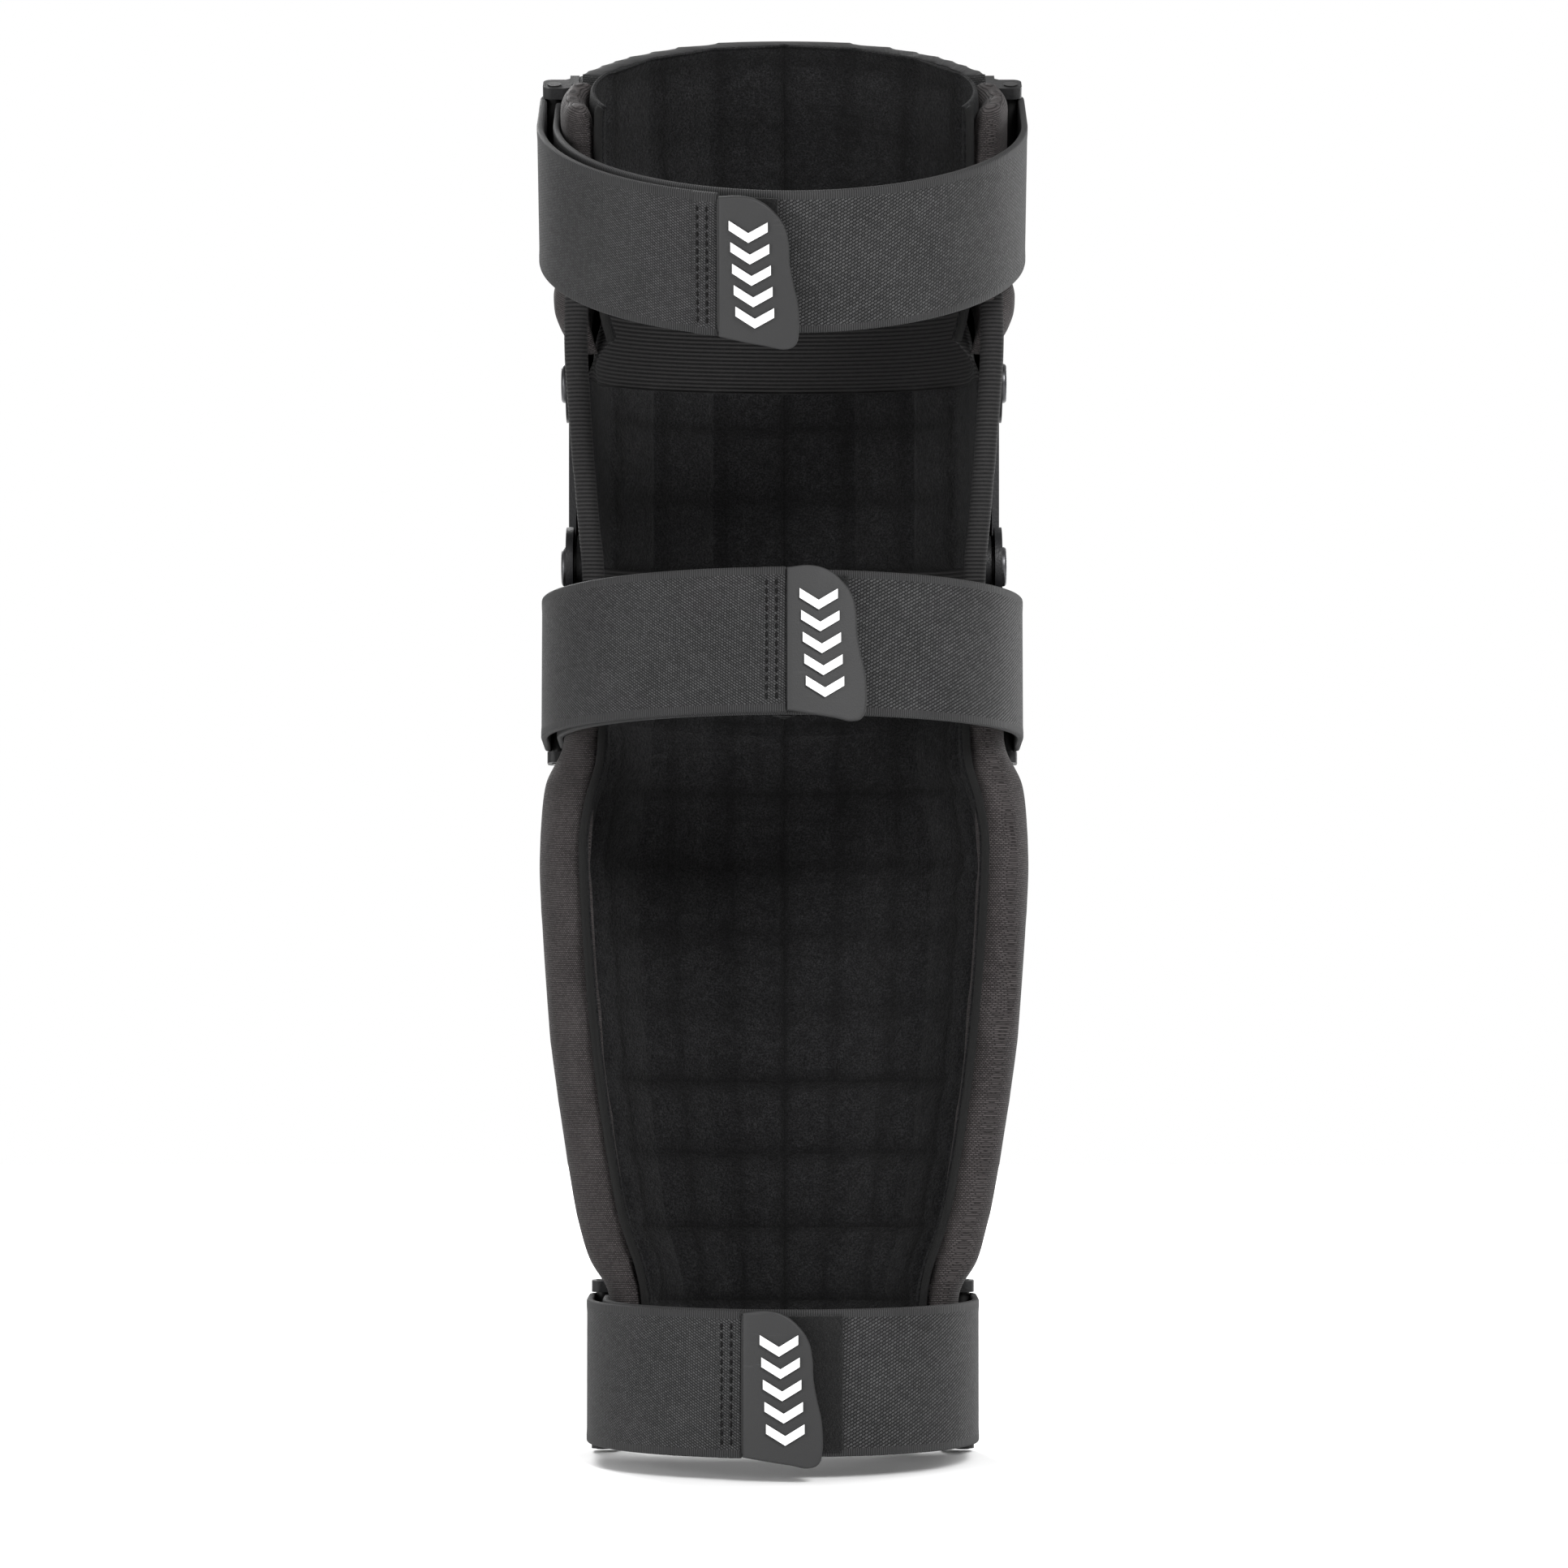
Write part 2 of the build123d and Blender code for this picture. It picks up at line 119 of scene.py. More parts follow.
bpy.ops.object.select_all(action="DESELECT")
bpy.ops.mesh.primitive_plane_add(size=FLOOR_SIZE, location=(0, 0, lowest - FLOOR_GAP))
floor = bpy.context.object
floor.name = "studio_floor"
floor_material = bpy.data.materials.new("pale_floor")
floor_material.use_nodes = True
preset(floor_material.node_tree.nodes["Principled BSDF"], Base_Color=(0.96, 0.96, 0.96, 1), Roughness=0.9)
floor.data.materials.append(floor_material)

# ---------------- hard shells
# Three injection-moulded shells, shin, knee cup and thigh, in black impact plastic with a fine eroded grain.
# They are rubbed a little paler where they knock against things, and dulled by dust in broad patches.
SHELL_BLACK = (0.0075, 0.0075, 0.0082, 1)
SHELL_WORN = (0.03, 0.03, 0.032, 1)
SHELL_GRAIN = 0.0007
SHELL_ROUGH = 0.42
CUP_BLACK = (0.0095, 0.0095, 0.0105, 1)
BRACKET_BLACK = (0.0085, 0.0085, 0.009, 1)
BRACKET_WORN = (0.06, 0.06, 0.06, 1)
WASHER_BLACK = (0.02, 0.02, 0.021, 1)
WASHER_WORN = (0.05, 0.05, 0.05, 1)
PLASTIC_SHINE = 0.28
MOULD_RELIEF = 0.0002


def effect(name, sizes, outputs):
    """A new node group: a vector and some sizes in, some values out, with its input and output nodes."""
    tree = bpy.data.node_groups.new(name, "ShaderNodeTree")
    tree.interface.new_socket(name="Vector", in_out="INPUT", socket_type="NodeSocketVector")
    for label, value in sizes.items():
        socket = tree.interface.new_socket(name=label, in_out="INPUT", socket_type="NodeSocketFloat")
        socket.default_value = value
    for label in outputs:
        tree.interface.new_socket(name=label, in_out="OUTPUT", socket_type="NodeSocketFloat")
    return tree, tree.nodes.new("NodeGroupInput"), tree.nodes.new("NodeGroupOutput")


def maths(tree, operation, first, second=None, third=None):
    """A maths node whose inputs are sockets or numbers."""
    node = tree.nodes.new("ShaderNodeMath")
    node.operation = operation
    for slot, value in zip(node.inputs, (first, second, third)):
        if isinstance(value, bpy.types.NodeSocket):
            tree.links.new(value, slot)
        elif value is not None:
            slot.default_value = value
    return node.outputs[0]


def noise(tree, vector, scale, detail=2.0, rough=0.5):
    node = tree.nodes.new("ShaderNodeTexNoise")
    preset(node, Scale=scale, Detail=detail, Roughness=rough)
    tree.links.new(vector, node.inputs["Vector"])
    return node.outputs["Fac"]


def ramp(tree, value, low, high):
    """Stretches a value so that low becomes 0 and high becomes 1, softly."""
    node = tree.nodes.new("ShaderNodeMapRange")
    node.interpolation_type = "SMOOTHSTEP"
    preset(node, From_Min=low, From_Max=high)
    tree.links.new(value, node.inputs["Value"])
    return node.outputs["Result"]


def in_cells(tree, group_in, label):
    """The group's vector, counted in cells of the size that one of its inputs gives."""
    node = tree.nodes.new("ShaderNodeVectorMath")
    node.operation = "SCALE"
    tree.links.new(group_in.outputs["Vector"], node.inputs[0])
    tree.links.new(maths(tree, "DIVIDE", 1.0, group_in.outputs[label]), node.inputs["Scale"])
    return node.outputs[0]


def cell_texture(tree, vector):
    """The distance from the middle of each random cell."""
    node = tree.nodes.new("ShaderNodeTexVoronoi")
    preset(node, Scale=1.0)
    tree.links.new(vector, node.inputs["Vector"])
    return node.outputs["Distance"]


grain_tree, grain_in, grain_out = effect(
    "moulded_grain", {"Grain Size": SHELL_GRAIN}, ("Height", "Wear", "Dust")
)
grain_cells = cell_texture(grain_tree, in_cells(grain_tree, grain_in, "Grain Size"))
grain_tree.links.new(grain_cells, grain_out.inputs["Height"])
scratch_map = grain_tree.nodes.new("ShaderNodeMapping")
preset(scratch_map, Rotation=(0.2, 0.5, 0.3), Scale=(60, 60, 900))
grain_tree.links.new(grain_in.outputs["Vector"], scratch_map.inputs["Vector"])
scratches = noise(grain_tree, scratch_map.outputs[0], 1.0, 3.0, 0.6)
patches = noise(grain_tree, grain_in.outputs["Vector"], 28.0, 3.0, 0.6)
scratched = ramp(grain_tree, scratches, 0.6, 0.72)
rubbed = ramp(grain_tree, patches, 0.52, 0.66)
grain_tree.links.new(maths(grain_tree, "MULTIPLY", scratched, rubbed), grain_out.inputs["Wear"])
dust = noise(grain_tree, grain_in.outputs["Vector"], 16.0, 4.0, 0.6)
grain_tree.links.new(dust, grain_out.inputs["Dust"])


def new_finish(name):
    """A new material with its shader, its tree and its coordinates."""
    material = bpy.data.materials.new(name)
    material.use_nodes = True
    tree = material.node_tree
    return material, tree, tree.nodes["Principled BSDF"], tree.nodes.new("ShaderNodeTexCoord")


def placed(tree, group):
    node = tree.nodes.new("ShaderNodeGroup")
    node.node_tree = group
    return node


def two_tone(tree, shader, factor, first, second):
    """Base colour that runs from first to second."""
    mix = tree.nodes.new("ShaderNodeMix")
    mix.data_type = "RGBA"
    preset(mix, A=first, B=second)
    tree.links.new(factor, mix.inputs["Factor"])
    tree.links.new(mix.outputs["Result"], shader.inputs["Base Color"])


def relief(tree, shader, height, strength, deep):
    """Surface relief from a height between 0 and 1, deep metres at full strength."""
    bump = tree.nodes.new("ShaderNodeBump")
    preset(bump, Strength=strength, Distance=deep)
    tree.links.new(height, bump.inputs["Height"])
    tree.links.new(bump.outputs["Normal"], shader.inputs["Normal"])


def rough_between(tree, shader, factor, low, high):
    """Roughness that runs from low to high."""
    node = tree.nodes.new("ShaderNodeMapRange")
    preset(node, To_Min=low, To_Max=high)
    tree.links.new(factor, node.inputs["Value"])
    tree.links.new(node.outputs["Result"], shader.inputs["Roughness"])


def moulded(name, colour, worn, grain, rough, depth):
    """Moulded plastic: grain, rubbed patches and uneven dust."""
    material, tree, shader, coordinates = new_finish(name)
    effects = placed(tree, grain_tree)
    preset(effects, Grain_Size=grain)
    tree.links.new(coordinates.outputs["Object"], effects.inputs["Vector"])
    two_tone(tree, shader, effects.outputs["Wear"], colour, worn)
    rough_between(tree, shader, effects.outputs["Dust"], rough - 0.1, rough + 0.2)
    relief(tree, shader, effects.outputs["Height"], depth, MOULD_RELIEF)
    preset(shader, Specular_IOR_Level=PLASTIC_SHINE)
    return material


shell_plastic = moulded("shell_plastic", SHELL_BLACK, SHELL_WORN, SHELL_GRAIN, SHELL_ROUGH, 0.35)
cup_plastic = moulded("cup_plastic", CUP_BLACK, SHELL_WORN, SHELL_GRAIN, SHELL_ROUGH - 0.06, 0.25)
bracket_plastic = moulded("bracket_plastic", BRACKET_BLACK, BRACKET_WORN, 0.0009, 0.5, 0.3)
washer_plastic = moulded("washer_plastic", WASHER_BLACK, WASHER_WORN, 0.0012, 0.38, 0.2)


def dress(material, *names):
    """Gives CAD nodes a finish."""
    for name in names:
        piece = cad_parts[name]
        piece.data.materials.clear()
        piece.data.materials.append(material)


dress(shell_plastic, "shin_shell", "thigh_shell")
dress(cup_plastic, "knee_cup_shell")
dress(bracket_plastic, "knee_pad_fixing_strip")
dress(washer_plastic, "pivot_washers")

# ---------------- rivets and pins
# Steel pivot rivets with rounded heads, plated in black zinc, and the black steel pins the straps turn on.
# The plating is uneven and slightly dented where the heads were set.
ZINC_DARK = (0.045, 0.045, 0.047, 1)
ZINC_LIGHT = (0.11, 0.11, 0.115, 1)
steel, steel_tree, steel_shader, steel_coordinates = new_finish("plated_steel")
preset(steel_shader, Metallic=1.0)
steel_effects = placed(steel_tree, grain_tree)
preset(steel_effects, Grain_Size=0.0016)
steel_tree.links.new(steel_coordinates.outputs["Object"], steel_effects.inputs["Vector"])
two_tone(steel_tree, steel_shader, steel_effects.outputs["Dust"], ZINC_DARK, ZINC_LIGHT)
rough_between(steel_tree, steel_shader, steel_effects.outputs["Dust"], 0.24, 0.5)
relief(steel_tree, steel_shader, steel_effects.outputs["Height"], 0.12, MOULD_RELIEF)
dress(steel, "pivot_rivets")
pin_black = moulded("pin_black", (0.012, 0.012, 0.012, 1), (0.09, 0.09, 0.09, 1), 0.0009, 0.36, 0.1)
dress(pin_black, "thigh_strap_pins", "calf_strap_pins", "ankle_strap_pins")

# ---------------- strap brackets
# Moulded loop brackets fixed to the shells, in a slightly coarser plastic.
# Each holds the pin that a strap turns round.
for strap_name in ("thigh_strap", "calf_strap", "ankle_strap"):
    dress(bracket_plastic, strap_name + "_bracket_pull_side", strap_name + "_bracket_anchor_side")

# ---------------- padded wings
# Foam rolls in a warm black knit that wrap round the sides of the leg, sewn shut along their rear edge.
# They are blown up a little by their foam and squeezed in where the straps cross them.
SHIN_PLACE = Matrix.Rotation(radians(5), 4, "X")
THIGH_PLACE = Matrix.Translation((0, 0, 0.065)) @ Matrix.Rotation(radians(-23.5), 4, "X")
FOAM = 0.0096
LINING = 0.0012
WING_REACH = radians(112)
SHIN_STATIONS = (
    (-0.025, 25, 0.0745, 0.062),
    (-0.040, 10, 0.0774, 0.062),
    (-0.068, 0, 0.0776, 0.062),
    (-0.086, 0, 0.0825, 0.0616),
    (-0.107, 0, 0.0845, 0.061),
    (-0.170, 0, 0.0795, 0.057),
    (-0.225, 0, 0.0705, 0.051),
    (-0.255, 0, 0.061, 0.048),
    (-0.292, 0, 0.0604, 0.045),
)
THIGH_STATIONS = (
    (0.024, 0, 0.074, 0.066),
    (0.044, 0, 0.0775, 0.068),
    (0.100, 0, 0.0776, 0.067),
    (0.108, 0, 0.0764, 0.066),
)
WING_VOXEL = 0.0035
WING_SWELL = 0.0042
SQUEEZED = 0.0003
STRAP_HOLDS = 0.026
SWELL_RUN = 0.014
BEHIND_FROM = -0.004
BEHIND_RUN = 0.016
FILL_FRAMES = 20
FILL_PRESSURE = 4
MIDDLE_RADIUS = 0.078
CLOTH_SHINE = 0.12
WING_DARK = (0.006, 0.0052, 0.0052, 1)
WING_LIGHT = (0.066, 0.059, 0.059, 1)

knit_tree, knit_in, knit_out = effect(
    "knit", {"Across": 0.0008, "Along": 0.0008}, ("Height", "Fleck", "Shade")
)
knit_parts = knit_tree.nodes.new("ShaderNodeSeparateXYZ")
knit_tree.links.new(knit_in.outputs["Vector"], knit_parts.inputs[0])
wander = noise(knit_tree, knit_in.outputs["Vector"], 900.0, 1.0)
sideways = maths(knit_tree, "DIVIDE", knit_parts.outputs["X"], knit_in.outputs["Across"])
sideways = maths(knit_tree, "ADD", sideways, maths(knit_tree, "MULTIPLY", wander, 0.2))
upwards = maths(knit_tree, "DIVIDE", knit_parts.outputs["Y"], knit_in.outputs["Along"])
knit_place = knit_tree.nodes.new("ShaderNodeCombineXYZ")
knit_tree.links.new(sideways, knit_place.inputs["X"])
knit_tree.links.new(upwards, knit_place.inputs["Y"])
stitches = knit_tree.nodes.new("ShaderNodeTexBrick")
stitches.offset = 0.5
preset(stitches, Color1=(0, 0, 0, 1), Color2=(1, 1, 1, 1), Mortar=(0, 0, 0, 1), Scale=1.0)
preset(stitches, Brick_Width=1.0, Row_Height=0.5, Mortar_Size=0.16, Mortar_Smooth=1.0)
knit_tree.links.new(knit_place.outputs[0], stitches.inputs["Vector"])
knit_tree.links.new(maths(knit_tree, "SUBTRACT", 1.0, stitches.outputs["Fac"]), knit_out.inputs["Height"])
grey = knit_tree.nodes.new("ShaderNodeRGBToBW")
knit_tree.links.new(stitches.outputs["Color"], grey.inputs[0])
knit_tree.links.new(grey.outputs[0], knit_out.inputs["Fleck"])
knit_tree.links.new(noise(knit_tree, knit_in.outputs["Vector"], 45.0, 3.0, 0.6), knit_out.inputs["Shade"])


def cloth(name, dark, light, across, along, rough, depth, sheen):
    """Knitted or woven cloth read along the piece's own map, in metres."""
    material, tree, shader, coordinates = new_finish(name)
    effects = placed(tree, knit_tree)
    preset(effects, Across=across, Along=along)
    tree.links.new(coordinates.outputs["UV"], effects.inputs["Vector"])
    lively = maths(tree, "MULTIPLY_ADD", effects.outputs["Fleck"], 0.5, 0.35)
    lit = maths(tree, "MULTIPLY", lively, effects.outputs["Height"])
    shade = maths(tree, "MULTIPLY_ADD", effects.outputs["Shade"], 0.5, -0.12)
    two_tone(tree, shader, maths(tree, "ADD", lit, shade), dark, light)
    rough_between(tree, shader, effects.outputs["Shade"], rough - 0.08, rough + 0.08)
    relief(tree, shader, effects.outputs["Height"], depth, 0.0003)
    preset(shader, Sheen_Weight=sheen, Sheen_Roughness=0.4, Specular_IOR_Level=CLOTH_SHINE)
    return material


wing_knit = cloth("wing_knit", WING_DARK, WING_LIGHT, 0.0009, 0.0013, 0.8, 0.9, 0.03)


def angle_round(local):
    """The angle round the leg, from the front."""
    return Vector((local.x, -local.y)).angle_signed(Vector((0, 1)), 0)


def wrap_map(piece, place):
    """A map in metres round and along the limb, with the turn in at the rear edge added on."""
    layer = piece.data.uv_layers.get("wrap") or piece.data.uv_layers.new(name="wrap")
    back = place.inverted()
    flat = []
    for vertex in piece.data.vertices:
        local = back @ vertex.co
        reach = sqrt(local.x ** 2 + local.y ** 2)
        flat.append((MIDDLE_RADIUS * angle_round(local) + reach, local.z))
    for loop in piece.data.loops:
        layer.data[loop.index].uv = flat[loop.vertex_index]


def selected(piece):
    """Makes a piece the active one and the only one selected."""
    bpy.ops.object.select_all(action="DESELECT")
    bpy.context.view_layer.objects.active = piece
    piece.select_set(True)


def copied(name, node):
    """A merged copy of a CAD node's mesh as a new piece."""
    piece = bpy.data.objects.new(name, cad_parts[node].data.copy())
    bpy.context.collection.objects.link(piece)
    piece.data.materials.clear()
    selected(piece)
    bpy.ops.object.mode_set(mode="EDIT")
    bpy.ops.mesh.select_all(action="SELECT")
    bpy.ops.mesh.remove_doubles(threshold=0.00002)
    bpy.ops.object.mode_set(mode="OBJECT")
    return piece


def modified(piece, label, kind, **settings):
    """Adds a modifier with its settings and applies it."""
    having(piece.modifiers.new(label, kind), **settings)
    bpy.context.view_layer.objects.active = piece
    bpy.ops.object.modifier_apply(modifier=label)


def remeshed(piece, voxel):
    piece.data.remesh_voxel_size = voxel
    bpy.context.view_layer.objects.active = piece
    bpy.ops.object.voxel_remesh()


def blown_up(piece, cap):
    """Fills a closed cloth shell with air; no point moves further than cap gives for its place."""
    start = [vertex.co.copy() for vertex in piece.data.vertices]
    fill = piece.modifiers.new("fill", "CLOTH")
    having(fill.settings, use_pressure=True, uniform_pressure_force=FILL_PRESSURE)
    having(fill.settings.effector_weights, gravity=0)
    having(fill.settings, quality=5, mass=0.3, tension_stiffness=15, bending_stiffness=0.5)
    having(fill.point_cache, frame_start=1, frame_end=FILL_FRAMES)
    for step in range(1, FILL_FRAMES + 1):
        bpy.context.scene.frame_set(step)
    bpy.context.view_layer.objects.active = piece
    bpy.ops.object.modifier_apply(modifier=fill.name)
    bpy.context.scene.frame_set(1)
    for vertex, before in zip(piece.data.vertices, start):
        moved = vertex.co - before
        most = cap(before)
        if moved.length > most:
            moved = moved.normalized() * most
        vertex.co = before + moved


def shade_smooth(piece, angle=None):
    selected(piece)
    if angle is None:
        bpy.ops.object.shade_smooth()
    else:
        bpy.ops.object.shade_smooth_by_angle(angle=radians(angle))


def strap_cap(place, bands):
    """How far wing cloth may swell: hardly at all under the straps, and fully a little way off them."""
    back = place.inverted()

    def cap(point):
        height = (back @ point).z
        off = min(abs(height - middle) - STRAP_HOLDS for middle in bands)
        share = max(0.0, min(1.0, off / SWELL_RUN))
        return SQUEEZED + (WING_SWELL - SQUEEZED) * share * share * (3 - 2 * share)

    return cap


def drawn_to_knee(piece, place, edge, free, reach, bulge):
    """Lengthens a wing's knee end towards the knee, and lets it stand out where no strap holds it."""
    back = place.inverted()
    for vertex in piece.data.vertices:
        local = back @ vertex.co
        share = max(0.0, min(1.0, (local.z - free) / (edge - free)))
        behind = max(0.0, min(1.0, (local.y - BEHIND_FROM) / BEHIND_RUN))
        local.z += (edge - free) / abs(edge - free) * reach * share * behind
        local.x += bulge * sin(pi * min(1.0, share)) * behind * (1 if local.x > 0 else -1)
        vertex.co = place @ local


for section, place, body, bands, knee_end in (
    ("shin", SHIN_PLACE, "shin", (-0.037, -0.283), (-0.016, -0.034, 0.010, 0.003)),
    ("thigh", THIGH_PLACE, "thigh", (0.072,), (0.024, 0.046, 0.009, 0.006)),
):
    for side in ("pull_side", "anchor_side"):
        node = section + "_wing_" + side
        wing = copied(node + "_padded", node)
        modified(wing, "even", "REMESH", mode="VOXEL", voxel_size=WING_VOXEL)
        drawn_to_knee(wing, place, *knee_end)
        remeshed(wing, WING_VOXEL)
        modified(wing, "soften", "SMOOTH", factor=0.6, iterations=6)
        blown_up(wing, strap_cap(place, bands))
        modified(wing, "soften", "SMOOTH", factor=0.5, iterations=2)
        modified(wing, "finer", "SUBSURF", levels=1, render_levels=1)
        wrap_map(wing, place)
        shade_smooth(wing)
        wing.data.materials.append(wing_knit)
        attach(wing, body)
        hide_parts(node)

# ---------------- foam pads
# Die-cut foam pads behind each shell, wrapped in a plain black knit.
# The cover rounds their edges and draws them in a little behind the shells.
PAD_VOXEL = 0.0024
PAD_TUCK = 0.001
PAD_DARK = (0.012, 0.012, 0.012, 1)
PAD_LIGHT = (0.04, 0.04, 0.041, 1)
pad_knit = cloth("pad_knit", PAD_DARK, PAD_LIGHT, 0.0011, 0.0015, 0.82, 0.8, 0.03)
for node, place, body in (
    ("shin_foam_pad", SHIN_PLACE, "shin"),
    ("thigh_foam_pad", THIGH_PLACE, "thigh"),
    ("knee_cup_foam_pad", Matrix.Identity(4), "knee_cup"),
):
    pad = copied(node + "_covered", node)
    remeshed(pad, PAD_VOXEL)
    modified(pad, "soften", "SMOOTH", factor=0.5, iterations=8)
    modified(pad, "tuck", "DISPLACE", strength=-PAD_TUCK, mid_level=0)
    wrap_map(pad, place)
    shade_smooth(pad)
    pad.data.materials.append(pad_knit)
    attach(pad, body)
    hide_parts(node)

# ---------------- linings and gussets
# Brushed black loop cloth against the leg, quilted down to the foam in channels and plain on the wings; shade
# is painted into the channels.
# The three linings are joined at the knee by two stretch gussets.
QUILT_UP = 0.026
QUILT_ROUND = radians(23)
QUILTED_TO = 3 * QUILT_ROUND
QUILT_DEEP = 0.0026
QUILT_FULL = 0.4
# The share of the lining's colour left at the bottom of a channel under the painted shade.
CHANNEL_SHADED_TONE = 0.25
LINING_GAP = 0.0008
LINING_ROW = 0.0025
ROUND_STEPS = 120
KNEE_RING = (0.0664, 0.0576, 0.0596)
KNEE_REACH = radians(106)
FLARE_FROM = radians(93)
SEWN_IN = (0.0690, 0.0185)
PIVOT_RISE = 0.065


def station_at(stations, t):
    """The wing's height, tilt, half width and depth part way between stations, on a smooth curve."""
    index = min(int(t), len(stations) - 2)
    part = t - index
    around = [stations[max(0, min(len(stations) - 1, index + k))] for k in (-1, 0, 1, 2)]
    result = []
    for a, b, c, d in zip(*around):
        bend = 2 * a - 5 * b + 4 * c - d + part * (3 * (b - c) + d - a)
        result.append(b + 0.5 * part * (c - a + part * bend))
    return result


def skin_point(stations, t, angle, depth):
    """A point of the wing's skin: depth is measured outwards from its outside."""
    height, tilt, half, front = station_at(stations, t)
    across = -(front + depth) * cos(angle)
    lean = radians(tilt)
    return Vector(((half + depth) * sin(angle), across * cos(lean), height + across * sin(lean)))


def cloth_grid(name, columns, rows, flat, shape, thick):
    """A sheet of cloth: a flat grid with a map in metres, laid on a surface and given its thickness."""
    bpy.ops.object.select_all(action="DESELECT")
    bpy.ops.mesh.primitive_grid_add(x_subdivisions=columns, y_subdivisions=rows, size=1, calc_uvs=True)
    sheet = bpy.context.object
    sheet.name = name
    sheet.data.name = name
    for item in sheet.data.uv_layers.active.data:
        item.uv = (item.uv[0] * flat[0], item.uv[1] * flat[1])
    for vertex in sheet.data.vertices:
        vertex.co = shape(vertex.co.x + 0.5, vertex.co.y + 0.5)
    modified(sheet, "thickness", "SOLIDIFY", thickness=thick, offset=0)
    modified(sheet, "turned_edge", "BEVEL", width=thick * 0.4, segments=2)
    shade_smooth(sheet, 50)
    return sheet


fuzz_tree, fuzz_in, fuzz_out = effect("brushed_pile", {"Pile": 0.0012}, ("Height", "Shade"))
fuzz_place = in_cells(fuzz_tree, fuzz_in, "Pile")
tufts = cell_texture(fuzz_tree, fuzz_place)
hairs = noise(fuzz_tree, fuzz_place, 2.4, 4.0, 0.7)
pile = maths(fuzz_tree, "SUBTRACT", hairs, maths(fuzz_tree, "MULTIPLY", tufts, 0.5))
fuzz_tree.links.new(pile, fuzz_out.inputs["Height"])
clumps = noise(fuzz_tree, fuzz_place, 0.35, 3.0, 0.6)
hair_tone = maths(fuzz_tree, "MULTIPLY", ramp(fuzz_tree, hairs, 0.35, 0.75), clumps)
fuzz_tree.links.new(hair_tone, fuzz_out.inputs["Shade"])


def brushed(name, dark, light, size, depth, sheen):
    """Brushed or looped cloth: a nearly black pile with paler hairs in it."""
    material, tree, shader, coordinates = new_finish(name)
    effects = placed(tree, fuzz_tree)
    preset(effects, Pile=size)
    tree.links.new(coordinates.outputs["Object"], effects.inputs["Vector"])
    two_tone(tree, shader, effects.outputs["Shade"], dark, light)
    rough_between(tree, shader, effects.outputs["Shade"], 0.85, 1.0)
    relief(tree, shader, effects.outputs["Height"], depth, 0.0008)
    preset(shader, Sheen_Weight=sheen, Sheen_Roughness=0.55, Specular_IOR_Level=0.06)
    return material


def painted_channel_shade(material):
    """Paints shade into a brushed cloth down in its sewn channels, darkest where the lining sinks lowest."""
    tree = material.node_tree
    shader = tree.nodes["Principled BSDF"]
    colour = shader.inputs["Base Color"].links[0].from_socket
    seam = tree.nodes.new("ShaderNodeAttribute")
    seam.attribute_name = "stand"
    darker = tree.nodes.new("ShaderNodeMix")
    darker.data_type = "RGBA"
    # Painted shade colour that the channel bottoms darken to.
    preset(darker, A=(0.0015, 0.0015, 0.0015, 1))
    tree.links.new(seam.outputs["Fac"], darker.inputs["Factor"])
    tree.links.new(colour, darker.inputs["B"])
    tree.links.new(darker.outputs["Result"], shader.inputs["Base Color"])


LINING_DARK = (0.003, 0.003, 0.0033, 1)
LINING_LIGHT = (0.045, 0.045, 0.047, 1)
lining_cloth = brushed("lining_cloth", LINING_DARK, LINING_LIGHT, 0.0014, 1.0, 0.04)
# Painted shade down in the lining's quilted channels.
painted_channel_shade(lining_cloth)


def quilting(round_by, up_by):
    """How far the lining stands off its foam: cushions between sewn channels, flat out on the wings."""
    if abs(round_by) > QUILTED_TO:
        return 0.0
    one = abs(sin(pi * round_by / QUILT_ROUND))
    two = abs(sin(pi * up_by / QUILT_UP))
    return QUILT_DEEP * (one * two) ** QUILT_FULL


def note_stand(sheet, stand_at):
    """Writes how far each point stands out of the sewn channels, from 0 to 1, as the mask for the painted
    channel shade.
    """
    layer = sheet.data.attributes.new("stand", "FLOAT", "POINT")
    for vertex, item in zip(sheet.data.vertices, layer.data):
        item.value = stand_at(vertex.co)


def stand_on(place, start):
    """The share of its cushion's height at which a lining's point stands, darkest down in the channels; it
    masks the painted shade there.
    """
    back = place.inverted()

    def stand_at(point):
        local = back @ point
        angle = angle_round(local)
        if abs(angle) > QUILTED_TO + 0.02:
            return 1.0
        within = max(-QUILTED_TO, min(QUILTED_TO, angle))
        return min(1.0, CHANNEL_SHADED_TONE + quilting(within, local.z - start) / QUILT_DEEP)

    return stand_at


def lining_shape(stations, place):
    """The lining's surface for a section: u runs round the leg, v along it."""
    last = len(stations) - 1

    def shape(u, v):
        angle = -WING_REACH + 2 * WING_REACH * u
        t = last * v
        height = station_at(stations, t)[0]
        stand = quilting(angle, height - stations[0][0])
        return place @ skin_point(stations, t, angle, -FOAM - LINING_GAP - stand)

    return shape


for section, stations, place, flat in (
    ("shin", SHIN_STATIONS, SHIN_PLACE, (0.222, 0.272)),
    ("thigh", THIGH_STATIONS, THIGH_PLACE, (0.243, 0.0855)),
):
    node = section + "_lining"
    rows = int(flat[1] / LINING_ROW)
    lining = cloth_grid(node + "_cloth", ROUND_STEPS, rows, flat, lining_shape(stations, place), LINING * 0.8)
    note_stand(lining, stand_on(place, stations[0][0]))
    lining.data.materials.append(lining_cloth)
    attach(lining, section)
    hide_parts(node)


def knee_point(angle, height, depth=0.0):
    """The knee lining's surface, flared out at its rear edges to where it is sewn into the side rolls."""
    half, front, rear = KNEE_RING
    deep = front if cos(angle) > 0 else rear
    point = Vector(((half + depth) * sin(angle), -(deep + depth) * cos(angle), height))
    share = max(0.0, (abs(angle) - FLARE_FROM) / (KNEE_REACH - FLARE_FROM))
    sewn = Vector((SEWN_IN[0] * (1 if angle > 0 else -1), SEWN_IN[1], height))
    return point.lerp(sewn, share)


